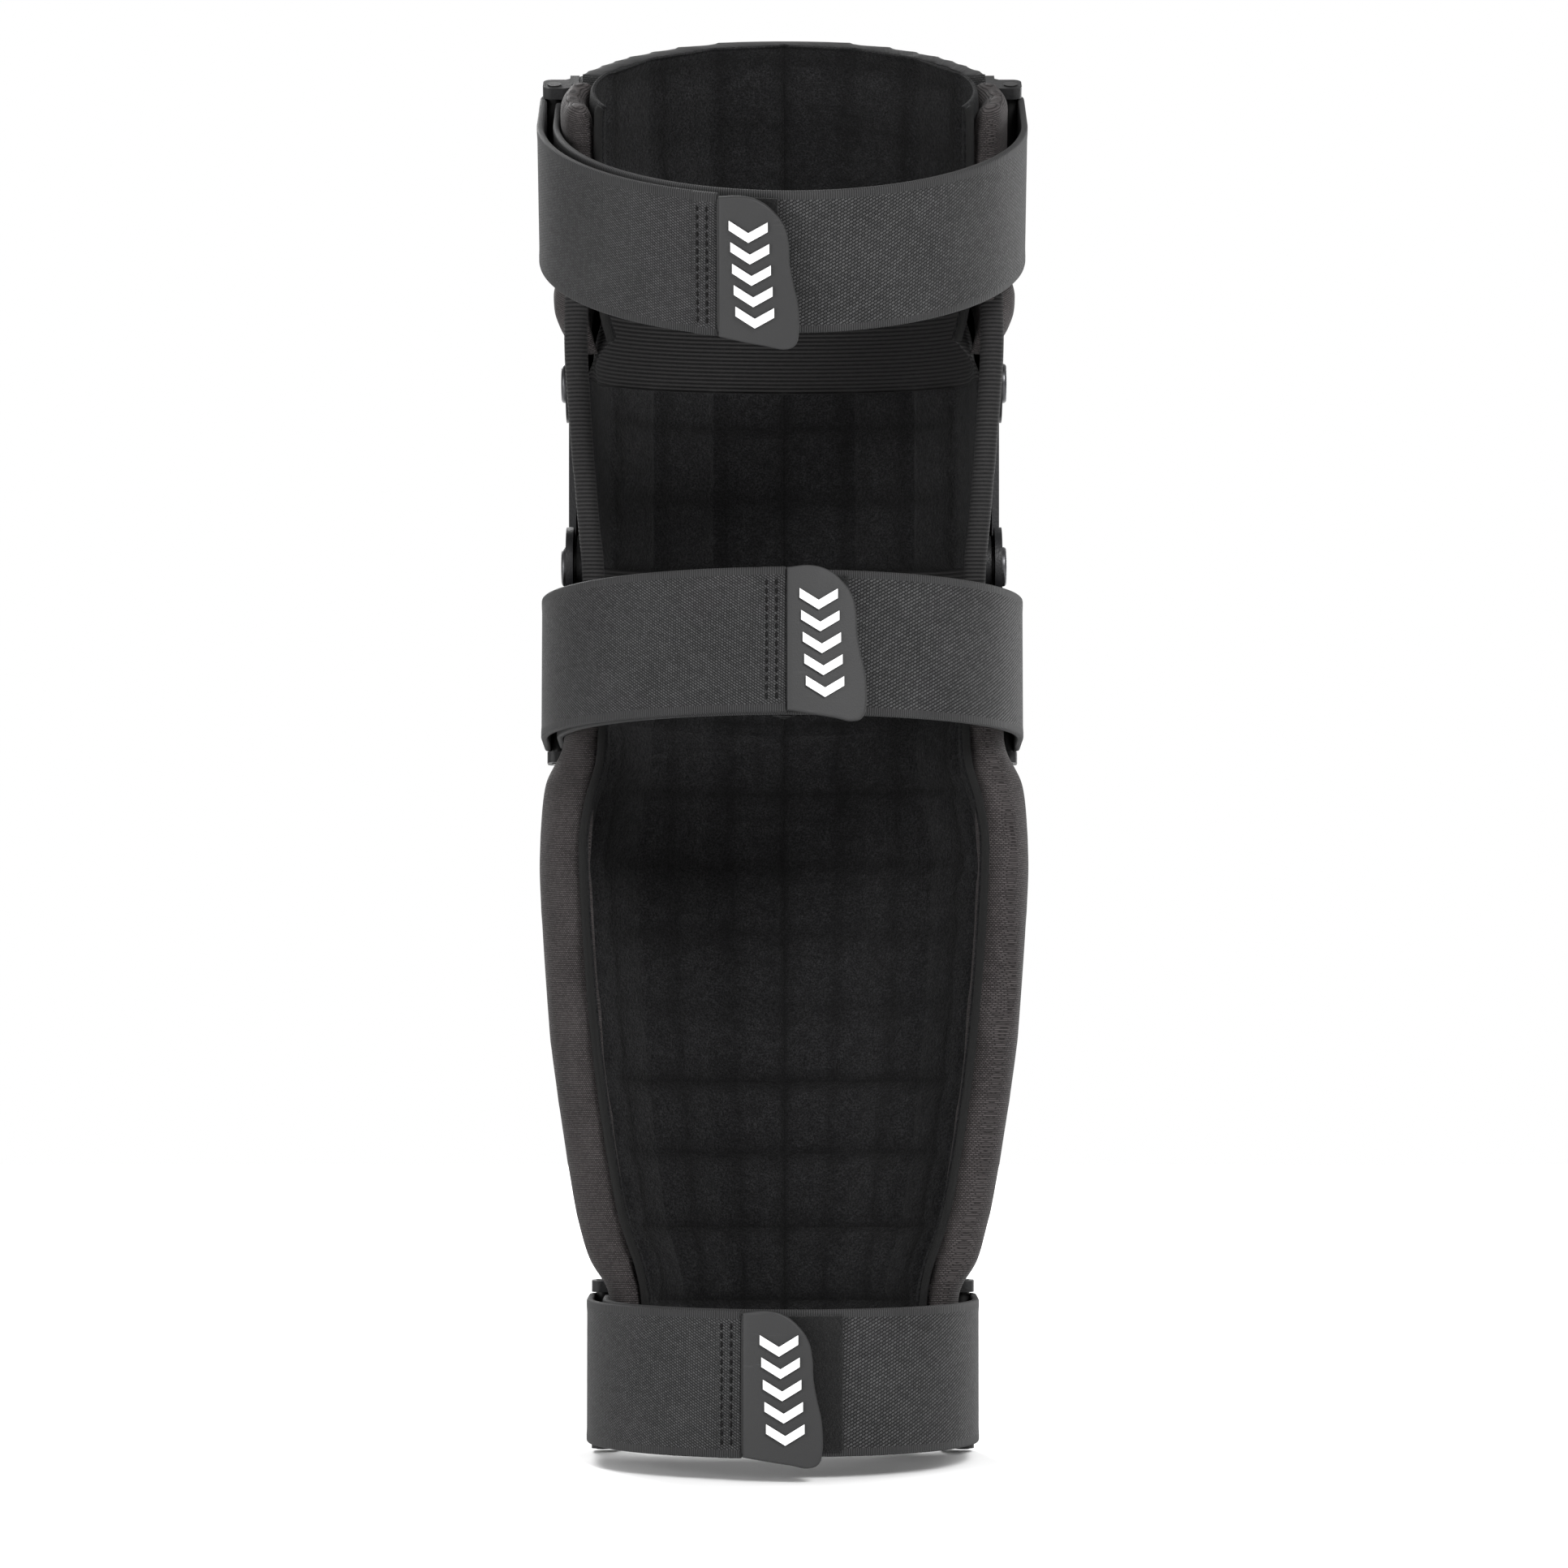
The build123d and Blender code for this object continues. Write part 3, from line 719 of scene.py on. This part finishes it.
def knee_shape(u, v):
    angle = KNEE_REACH * (2 * u - 1)
    return knee_point(angle, PIVOT_RISE * v, -quilting(angle, PIVOT_RISE * v))


knee_flat = (0.231, PIVOT_RISE)
knee_rows = 26
knee_lining = cloth_grid("knee_cup_lining_cloth", ROUND_STEPS, knee_rows, knee_flat, knee_shape, LINING * 0.8)
note_stand(knee_lining, stand_on(Matrix.Identity(4), 0.0))
knee_lining.data.materials.append(lining_cloth)
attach(knee_lining, "knee_cup")
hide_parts("knee_cup_lining")



ribbed_roll, ribbed_tree, ribbed_shader, ribbed_coordinates = new_finish("ribbed_roll")
ribbed_parts = ribbed_tree.nodes.new("ShaderNodeSeparateXYZ")
ribbed_tree.links.new(ribbed_coordinates.outputs["Object"], ribbed_parts.inputs[0])
RIB_PITCH = 0.0014
rib_turns = maths(ribbed_tree, "MULTIPLY", ribbed_parts.outputs["Z"], 2 * pi / RIB_PITCH)
ribs = maths(ribbed_tree, "MULTIPLY_ADD", maths(ribbed_tree, "SINE", rib_turns), 0.5, 0.5)
ribbed_fuzz = placed(ribbed_tree, fuzz_tree)
preset(ribbed_fuzz, Pile=0.0006)
ribbed_tree.links.new(ribbed_coordinates.outputs["Object"], ribbed_fuzz.inputs["Vector"])
rib_tone = maths(ribbed_tree, "MULTIPLY", ribs, 0.5)
rib_tone = maths(ribbed_tree, "MULTIPLY_ADD", ribbed_fuzz.outputs["Shade"], 0.6, rib_tone)
two_tone(ribbed_tree, ribbed_shader, rib_tone, (0.004, 0.004, 0.0043, 1), (0.04, 0.039, 0.039, 1))
rough_between(ribbed_tree, ribbed_shader, ribbed_fuzz.outputs["Shade"], 0.75, 0.95)
relief(ribbed_tree, ribbed_shader, ribs, 0.9, 0.0004)
preset(ribbed_shader, Sheen_Weight=0.03, Specular_IOR_Level=0.1)
GUSSET_THICK = 0.0009
GUSSET_BOW = 0.0018
GUSSET_ROWS = 14


def gusset_shape(stations, place, height):
    """A gusset from the knee lining's edge to the next lining's edge, bowed outwards in the middle."""

    def shape(u, v):
        angle = KNEE_REACH * (2 * u - 1)
        near = knee_point(angle, height)
        far = place @ skin_point(stations, 0, angle * WING_REACH / KNEE_REACH, -FOAM - LINING_GAP)
        point = near.lerp(far, v)
        out = Vector((point.x, point.y, 0)).normalized()
        return point + out * GUSSET_BOW * sin(pi * v)

    return shape


upper_shape = gusset_shape(THIGH_STATIONS, THIGH_PLACE, PIVOT_RISE)
upper_gusset = cloth_grid(
    "knee_upper_gusset", ROUND_STEPS, GUSSET_ROWS, (0.235, 0.036), upper_shape, GUSSET_THICK
)
upper_gusset.data.materials.append(ribbed_roll)
lower_shape = gusset_shape(SHIN_STATIONS, SHIN_PLACE, 0.0)
lower_gusset = cloth_grid(
    "knee_lower_gusset", ROUND_STEPS, GUSSET_ROWS, (0.235, 0.039), lower_shape, GUSSET_THICK
)
lower_gusset.data.materials.append(ribbed_roll)
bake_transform(upper_gusset)
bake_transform(lower_gusset)

# ---------------- edge binding and knee side rolls
# A narrow woven tape is folded over the raw rear edges of foam and lining and sewn down as a dark groove.
# At the knee the edge is a soft ribbed roll that carries on from the thigh wing to the shin wing.
TAPE_RADIUS = 0.0014
TAPE_DEPTH = -FOAM * 0.86
TAPE_TURN = WING_REACH + radians(0.6)
TAPE_DARK = (0.006, 0.006, 0.006, 1)
TAPE_LIGHT = (0.02, 0.02, 0.02, 1)
SAME_POINT = 0.00001
binding_tape = cloth("binding_tape", TAPE_DARK, TAPE_LIGHT, 0.0007, 0.001, 0.85, 0.7, 0.02)


def turned_out(piece, merge=0.0):
    """Merges points nearer than merge and turns every face outwards."""
    selected(piece)
    bpy.ops.object.mode_set(mode="EDIT")
    bpy.ops.mesh.select_all(action="SELECT")
    if merge:
        bpy.ops.mesh.remove_doubles(threshold=merge)
    bpy.ops.mesh.normals_make_consistent(inside=False)
    bpy.ops.object.mode_set(mode="OBJECT")


def joined(pieces, name):
    """Joins pieces into the first of them."""
    bpy.ops.object.select_all(action="DESELECT")
    for piece in pieces:
        piece.select_set(True)
    bpy.context.view_layer.objects.active = pieces[0]
    bpy.ops.object.join()
    pieces[0].name = name
    return pieces[0]


def meshed(name, curve):
    """A curve's object turned into a mesh piece."""
    piece = bpy.data.objects.new(name, curve)
    bpy.context.collection.objects.link(piece)
    selected(piece)
    bpy.ops.object.convert(target="MESH")
    return bpy.context.object


def rope_of(name, points, radii):
    """A soft round roll along a smooth line through points."""
    line = having(bpy.data.curves.new(name, "CURVE"), dimensions="3D", resolution_u=6)
    having(line, bevel_depth=1.0, bevel_resolution=4, use_fill_caps=True)
    spline = line.splines.new("NURBS")
    spline.points.add(len(points) - 1)
    for item, point, radius in zip(spline.points, points, radii):
        item.co = (*point, 1)
        item.radius = radius
    having(spline, order_u=3, use_endpoint_u=True)
    roll = meshed(name, line)
    turned_out(roll, SAME_POINT)
    return roll


def edge_points(stations, place, angle, depth, count):
    """Points down the rear edge of a section."""
    last = len(stations) - 1
    return [place @ skin_point(stations, last * k / (count - 1), angle, depth) for k in range(count)]


for section, stations, place, count in (
    ("shin", SHIN_STATIONS, SHIN_PLACE, 34),
    ("thigh", THIGH_STATIONS, THIGH_PLACE, 12),
):
    tapes = []
    for turn in (-1, 1):
        path = edge_points(stations, place, turn * TAPE_TURN, TAPE_DEPTH, count)
        tapes.append(rope_of(section + "_tape", path, [TAPE_RADIUS] * count))
    tape = joined(tapes, section + "_edge_binding_tape")
    wrap_map(tape, place)
    shade_smooth(tape)
    tape.data.materials.clear()
    tape.data.materials.append(binding_tape)
    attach(tape, section)
    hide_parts(section + "_edge_binding")

UPPER_ROLL = (
    (0.0725, 0.033, 0.096, 0.0042),
    (0.0730, 0.030, 0.078, 0.0044),
    (0.0716, 0.0215, 0.052, 0.0042),
    (0.0700, 0.0197, 0.030, 0.004),
)
LOWER_ROLL = (
    (0.0702, 0.0199, 0.035, 0.004),
    (0.0688, 0.0195, 0.015, 0.0039),
    (0.0664, 0.0200, -0.004, 0.0042),
    (0.0670, 0.0215, -0.024, 0.0036),
)


def roll_of(name, line, turn):
    """One half of a side roll: line gives its points, with their radius, on the pull side."""
    return rope_of(name, [(turn * x, y, z) for x, y, z, _ in line], [point[3] for point in line])


for side, turn in (("pull_side", 1), ("anchor_side", -1)):
    node = "knee_side_roll_" + side
    upper = roll_of(node + "_upper", UPPER_ROLL, turn)
    lower = roll_of(node + "_lower", LOWER_ROLL, turn)
    for roll in (upper, lower):
        modified(roll, "finer", "SUBSURF", levels=1, render_levels=1)
        shade_smooth(roll)
        roll.data.materials.clear()
        roll.data.materials.append(ribbed_roll)
        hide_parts(node)
    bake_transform(upper)
    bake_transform(lower)

# ---------------- straps
# Three 50 mm elastic straps. Each leaves a pin on the anchor side, runs round behind the leg and ends at the
# pull pin; its fold-back end turns round that pin and lies on top, held by hook and loop patches.
STRAP_TALL = 0.05
WEB = 0.0024
PATCH = 0.0012
INNER_AT = 0.0004
OUTER_AT = 0.006
PATCH_AT = 0.00305
HOOK_AT = 0.00455
TURN_RADIUS = 0.0038
HEM_LONG = 0.0088
HEM_FOLD = 0.0008
HEM_RUN = 0.0008
SELVAGE = 0.0028
SELVAGE_RUN = 0.0006
WEB_EDGE = 0.0009
WEB_DIP = 0.00012
PATCH_EDGE = 0.0004
PATCH_STEP = 0.002
BAND_TAIL = 0.0058
LOOP_FROM = 0.046
HOOK_FROM = 0.036
HOOK_TO = 0.001
STITCH_PITCH = 0.0030
STITCH_ROWS = (0.0035, 0.0068)
STITCH_SIZE = (0.00045, 0.0003, 0.0011)
STRAPS = {
    "thigh": dict(
        place=THIGH_PLACE @ Matrix.Translation((0, 0.003, 0.072)),
        half=0.0796, rear=0.077, x0=-0.0022, pin_y=-0.030, hem=0.022, loop_to=0.002, body="thigh",
    ),
    "calf": dict(
        place=SHIN_PLACE @ Matrix.Translation((0, 0, -0.037)) @ Matrix.Rotation(radians(1.6), 4, "X"),
        half=0.0796, rear=0.071, x0=-0.0022, pin_y=-0.030, hem=-0.001, loop_to=-0.022, body="shin",
    ),
    "ankle": dict(
        place=SHIN_PLACE @ Matrix.Translation((0, 0, -0.283)) @ Matrix.Rotation(radians(-3.6), 4, "X"),
        half=0.0631, rear=0.059, x0=-0.0024, pin_y=-0.024, hem=0.014, loop_to=-0.020, body="shin",
    ),
}


def ring_at(strap, angle, by):
    """A point of a strap's ring, by metres outside its inner face."""
    return Vector((strap["x0"] + (strap["half"] + by) * sin(angle), -(strap["rear"] + by) * cos(angle)))


def ring_angle(strap, x, by):
    """The ring's angle behind the leg where it crosses x."""
    low, high = radians(90), radians(270)
    for _ in range(40):
        middle = (low + high) / 2
        if ring_at(strap, middle, by).x > x:
            low = middle
        else:
            high = middle
    return low


def arc_points(strap, start, end, by, count=120):
    return [ring_at(strap, start + (end - start) * k / count, by) for k in range(count + 1)]


def turn_points(centre, side):
    """Half a turn round the front of a pin, from its inner side to its outer side."""
    steps = 16
    angles = [pi * k / steps for k in range(steps + 1)]
    return [centre + Vector((-side * TURN_RADIUS * cos(a), -TURN_RADIUS * sin(a))) for a in angles]


class Track:
    """A flat line behind the leg, and a point at any distance along it and out from it."""

    def __init__(self, points, place, outwards):
        self.points = points
        self.place = place
        self.outwards = outwards
        self.steps = [0.0]
        for a, b in zip(points, points[1:]):
            self.steps.append(self.steps[-1] + (b - a).length)
        self.length = self.steps[-1]
        self.at = 0

    def point(self, along, out, up):
        along = max(0.0, min(self.length, along))
        while self.at < len(self.steps) - 2 and self.steps[self.at + 1] < along:
            self.at += 1
        while self.at > 0 and self.steps[self.at] > along:
            self.at -= 1
        part = (along - self.steps[self.at]) / (self.steps[self.at + 1] - self.steps[self.at])
        spot = self.points[self.at].lerp(self.points[self.at + 1], part)
        first = self.points[max(0, self.at - 1)]
        last = self.points[min(len(self.points) - 1, self.at + 2)]
        heading = (last - first).normalized()
        away = Vector((heading.y, -heading.x)) * self.outwards
        spot = spot + away * out
        return self.place @ Vector((spot.x, spot.y, up))


def strip(name, track, tall, thick, step, edge, dip=0.0, hem=0.0):
    """A flat strip with rounded edges, laid along a track; hem is how much its folded end thickens."""
    bpy.ops.object.select_all(action="DESELECT")
    columns = max(4, int(track.length / step))
    bpy.ops.mesh.primitive_grid_add(x_subdivisions=columns, y_subdivisions=20, size=1, calc_uvs=True)
    web = bpy.context.object
    web.name = name
    web.data.name = name
    for item in web.data.uv_layers.active.data:
        item.uv = (item.uv[0] * track.length, item.uv[1] * tall)
    for vertex in web.data.vertices:
        vertex.co = (vertex.co.x * track.length, vertex.co.y * tall, 0)
    modified(web, "thickness", "SOLIDIFY", thickness=thick, offset=0)
    modified(web, "rounded_edge", "BEVEL", width=edge, segments=3)
    for vertex in web.data.vertices:
        along, up, out = vertex.co
        if dip:
            inside = 0.5 * tall - abs(up)
            if inside > SELVAGE:
                out -= dip * min(1.0, (inside - SELVAGE) / SELVAGE_RUN) * (1 if out > 0 else -1)
        along += 0.5 * track.length
        if hem and out > 0:
            out += hem * max(0.0, min(1.0, (along - track.length + HEM_LONG) / HEM_RUN))
        vertex.co = track.point(along, out, up)
    turned_out(web)
    shade_smooth(web, 60)
    return web


selvage_tree, selvage_in, selvage_out = effect(
    "selvage", {"Tall": STRAP_TALL, "Edge": SELVAGE}, ("Mask", "Ribs")
)
selvage_parts = selvage_tree.nodes.new("ShaderNodeSeparateXYZ")
selvage_tree.links.new(selvage_in.outputs["Vector"], selvage_parts.inputs[0])
middle_line = maths(selvage_tree, "MULTIPLY", selvage_in.outputs["Tall"], 0.5)
off_middle = maths(selvage_tree, "SUBTRACT", selvage_parts.outputs["Y"], middle_line)
off_middle = maths(selvage_tree, "ABSOLUTE", off_middle)
from_edge = maths(selvage_tree, "SUBTRACT", middle_line, off_middle)
in_edge = maths(selvage_tree, "LESS_THAN", from_edge, selvage_in.outputs["Edge"])
selvage_tree.links.new(in_edge, selvage_out.inputs["Mask"])
SELVAGE_PITCH = 0.0008
edge_ribs = maths(selvage_tree, "MULTIPLY", selvage_parts.outputs["X"], 2 * pi / SELVAGE_PITCH)
edge_ribs = maths(selvage_tree, "MULTIPLY_ADD", maths(selvage_tree, "SINE", edge_ribs), 0.5, 0.5)
selvage_tree.links.new(edge_ribs, selvage_out.inputs["Ribs"])


def mixed(tree, share, first, second):
    """A value that runs from first to second."""
    node = tree.nodes.new("ShaderNodeMix")
    tree.links.new(share, node.inputs["Factor"])
    tree.links.new(first, node.inputs["A"])
    tree.links.new(second, node.inputs["B"])
    return node.outputs["Result"]


def elastic(name, dark, light, across, along, skew):
    """Elastic webbing: a flecked weave with ribbed selvages."""
    material, tree, shader, coordinates = new_finish(name)
    slant = tree.nodes.new("ShaderNodeMapping")
    preset(slant, Rotation=(0, 0, skew))
    tree.links.new(coordinates.outputs["UV"], slant.inputs["Vector"])
    weave = placed(tree, knit_tree)
    preset(weave, Across=across, Along=along)
    tree.links.new(slant.outputs[0], weave.inputs["Vector"])
    selvage = placed(tree, selvage_tree)
    tree.links.new(coordinates.outputs["UV"], selvage.inputs["Vector"])
    lively = maths(tree, "MULTIPLY_ADD", weave.outputs["Fleck"], 0.45, 0.4)
    fleck = maths(tree, "MULTIPLY", lively, weave.outputs["Height"])
    ribs = maths(tree, "MULTIPLY_ADD", selvage.outputs["Ribs"], 0.4, 0.14)
    tone = mixed(tree, selvage.outputs["Mask"], fleck, ribs)
    shade = maths(tree, "MULTIPLY_ADD", weave.outputs["Shade"], 0.3, -0.06)
    two_tone(tree, shader, maths(tree, "ADD", tone, shade), dark, light)
    height = mixed(tree, selvage.outputs["Mask"], weave.outputs["Height"], selvage.outputs["Ribs"])
    relief(tree, shader, height, 0.9, 0.0003)
    rough_between(tree, shader, weave.outputs["Shade"], 0.62, 0.8)
    preset(shader, Sheen_Weight=0.03, Sheen_Roughness=0.4, Specular_IOR_Level=CLOTH_SHINE)
    return material


BAND_DARK = (0.0022, 0.0022, 0.0024, 1)
BAND_LIGHT = (0.066, 0.066, 0.067, 1)
END_DARK = (0.0026, 0.0026, 0.0028, 1)
END_LIGHT = (0.058, 0.058, 0.059, 1)
band_elastic = elastic("band_elastic", BAND_DARK, BAND_LIGHT, 0.00125, 0.0021, 0.5)
end_elastic = elastic("end_elastic", END_DARK, END_LIGHT, 0.0011, 0.0016, 0.62)
loop_cloth = brushed("loop_cloth", (0.0035, 0.0035, 0.0038, 1), (0.03, 0.03, 0.03, 1), 0.0009, 1.0, 0.1)
hook_cloth = brushed("hook_cloth", (0.007, 0.007, 0.007, 1), (0.045, 0.045, 0.045, 1), 0.0007, 1.0, 0.05)
thread, thread_tree, thread_shader, thread_coordinates = new_finish("sewing_thread")
thread_twist = placed(thread_tree, fuzz_tree)
preset(thread_twist, Pile=0.0005)
thread_tree.links.new(thread_coordinates.outputs["Object"], thread_twist.inputs["Vector"])
twist_tone = thread_twist.outputs["Shade"]
# Near-black hem thread: partly the thread's own black, partly painted shade of the groove the stitches sink
# into.
two_tone(thread_tree, thread_shader, twist_tone, (0.001, 0.001, 0.001, 1), (0.012, 0.012, 0.012, 1))
preset(thread_shader, Specular_IOR_Level=0.1)
rough_between(thread_tree, thread_shader, twist_tone, 0.5, 0.8)

for label, strap in STRAPS.items():
    name = label + "_strap"
    place = strap["place"]
    inner_mid = INNER_AT + WEB / 2
    outer_mid = OUTER_AT + WEB / 2
    anchor = Vector((strap["x0"] - (strap["half"] + inner_mid - TURN_RADIUS), strap["pin_y"]))
    pull = Vector((strap["x0"] + strap["half"] + outer_mid - TURN_RADIUS, strap["pin_y"]))

    band_line = turn_points(anchor, -1)
    band_line += arc_points(strap, radians(270), radians(90), inner_mid)
    band_line.append(Vector((strap["x0"] + strap["half"] + inner_mid, strap["pin_y"] + BAND_TAIL)))
    band_track = Track(band_line, place, -1)
    band = strip(name + "_band_webbing", band_track, STRAP_TALL, WEB, 0.0016, WEB_EDGE, WEB_DIP)
    band.data.materials.append(band_elastic)
    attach(band, strap["body"])
    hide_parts(name + "_band")

    end_line = turn_points(pull, 1)
    end_line += arc_points(strap, radians(90), ring_angle(strap, strap["hem"], outer_mid), outer_mid)
    end_track = Track(end_line, place, 1)
    end = strip(name + "_end_elastic", end_track, STRAP_TALL, WEB, 0.0008, WEB_EDGE, WEB_DIP, HEM_FOLD)
    end.data.materials.append(end_elastic)
    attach(end, name + "_end")
    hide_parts(name + "_end_webbing")

    loop_mid = PATCH_AT + PATCH / 2
    loop_line = arc_points(
        strap,
        ring_angle(strap, strap["hem"] + LOOP_FROM, loop_mid),
        ring_angle(strap, strap["loop_to"], loop_mid),
        loop_mid,
    )
    loop_track = Track(loop_line, place, 1)
    loop_patch = strip(name + "_loop_pile", loop_track, STRAP_TALL - 0.004, PATCH, PATCH_STEP, PATCH_EDGE)
    loop_patch.data.materials.append(loop_cloth)
    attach(loop_patch, strap["body"])
    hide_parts(name + "_loop_patch")

    hook_mid = HOOK_AT + PATCH / 2
    hook_line = arc_points(
        strap,
        ring_angle(strap, strap["hem"] + HOOK_FROM, hook_mid),
        ring_angle(strap, strap["hem"] + HOOK_TO, hook_mid),
        hook_mid,
    )
    hook_track = Track(hook_line, place, 1)
    hook_patch = strip(name + "_hook_pile", hook_track, STRAP_TALL - 0.008, PATCH, PATCH_STEP, PATCH_EDGE)
    hook_patch.data.materials.append(hook_cloth)
    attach(hook_patch, name + "_end")
    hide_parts(name + "_hook_patch")

    bpy.ops.object.select_all(action="DESELECT")
    bpy.ops.mesh.primitive_uv_sphere_add(segments=8, ring_count=6, radius=1)
    stitch = bpy.context.object
    stitch_copies = []
    long, high, wide = STITCH_SIZE
    count = int((STRAP_TALL - 0.006) / STITCH_PITCH)
    for row in STITCH_ROWS:
        for number in range(count):
            copy = stitch.copy()
            copy.data = stitch.data.copy()
            bpy.context.collection.objects.link(copy)
            height = (number - (count - 1) / 2) * STITCH_PITCH
            for vertex in copy.data.vertices:
                x, y, z = vertex.co
                along = end_track.length - row + long * x
                vertex.co = end_track.point(along, WEB / 2 + HEM_FOLD + high * y, height + wide * z)
            stitch_copies.append(copy)
    bpy.data.objects.remove(stitch)
    seam = joined(stitch_copies, name + "_hem_stitches")
    turned_out(seam)
    seam.data.materials.clear()
    seam.data.materials.append(thread)
    shade_smooth(seam)
    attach(seam, name + "_end")

# ---------------- pull tabs
# Moulded rubber tabs with a rounded rim, a swept edge for the fingers and raised white chevrons.
# Each has a thin edge that is sewn into the hem of its strap.
TAB_THICK = 0.0024
TAB_AT = OUTER_AT + WEB + 0.00025
TAB_ROUND = 0.0007
TAB_SLICE = 0.002
SEWN_IN_HEM = 0.006
SEWN_UNDER_TAB = 0.005
SEWN_THICK = 0.0011
SEWN_EDGE = 0.0003
SEWN_TALL = STRAP_TALL - 0.003
TAB_OUTLINE = (
    (0.0, 0.0245),
    (0.0085, 0.0252),
    (0.0142, 0.0236),
    (0.0188, 0.0200),
    (0.0222, 0.0152),
    (0.0236, 0.0095),
    (0.0240, 0.0020),
    (0.0252, -0.0050),
    (0.0266, -0.0112),
    (0.0271, -0.0170),
    (0.0270, -0.0225),
    (0.0259, -0.0264),
    (0.0234, -0.0279),
    (0.0160, -0.0270),
    (0.0, -0.0245),
)
tab_rubber = moulded("tab_rubber", (0.021, 0.021, 0.0215, 1), (0.04, 0.04, 0.041, 1), 0.0006, 0.55, 0.2)
tab_white = moulded("tab_white", (0.78, 0.78, 0.78, 1), (0.6, 0.6, 0.6, 1), 0.0006, 0.5, 0.12)

for label, strap in STRAPS.items():
    name = label + "_strap"
    drawn = having(bpy.data.curves.new(name + "_tab", "CURVE"), dimensions="2D", fill_mode="BOTH")
    having(drawn, extrude=TAB_THICK / 2 - TAB_ROUND, offset=-TAB_ROUND, resolution_u=6)
    having(drawn, bevel_depth=TAB_ROUND, bevel_resolution=3)
    spline = drawn.splines.new("BEZIER")
    spline.use_cyclic_u = True
    spline.bezier_points.add(len(TAB_OUTLINE) - 1)
    for index, (item, point) in enumerate(zip(spline.bezier_points, TAB_OUTLINE)):
        item.co = (*point, 0)
        sharp = index in (0, len(TAB_OUTLINE) - 1)
        item.handle_left_type = "VECTOR" if sharp else "AUTO"
        item.handle_right_type = "VECTOR" if sharp else "AUTO"
    tab = meshed(name + "_tab", drawn)
    tab.name = name + "_rubber_tab"
    bpy.ops.object.mode_set(mode="EDIT")
    bpy.ops.mesh.select_all(action="SELECT")
    bpy.ops.mesh.remove_doubles(threshold=SAME_POINT)
    for cut in range(1, 14):
        bpy.ops.mesh.select_all(action="SELECT")
        bpy.ops.mesh.bisect(plane_co=(cut * TAB_SLICE, 0, 0), plane_no=(1, 0, 0))
    bpy.ops.object.mode_set(mode="OBJECT")
    turned_out(tab)
    for vertex in tab.data.vertices:
        x, up, out = vertex.co
        out += TAB_AT + TAB_THICK / 2
        turned_x = strap["hem"] - x - strap["x0"]
        y = (strap["rear"] + out) * sqrt(1 - (turned_x / (strap["half"] + out)) ** 2)
        vertex.co = strap["place"] @ Vector((strap["hem"] - x, y, up))
    turned_out(tab)
    shade_smooth(tab, 35)
    tab.data.materials.clear()
    tab.data.materials.append(tab_rubber)
    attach(tab, name + "_end")
    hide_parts(name + "_pull_tab")

    sewn_mid = OUTER_AT + WEB - 0.0002
    sewn_line = arc_points(
        strap,
        ring_angle(strap, strap["hem"] + SEWN_IN_HEM, sewn_mid),
        ring_angle(strap, strap["hem"] - SEWN_UNDER_TAB, sewn_mid),
        sewn_mid,
        20,
    )
    sewn_track = Track(sewn_line, strap["place"], 1)
    sewn_edge = strip(name + "_tab_sewn_edge", sewn_track, SEWN_TALL, SEWN_THICK, PATCH_STEP, SEWN_EDGE)
    sewn_edge.data.materials.append(tab_rubber)
    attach(sewn_edge, name + "_end")
    dress(tab_white, name + "_tab_chevrons")
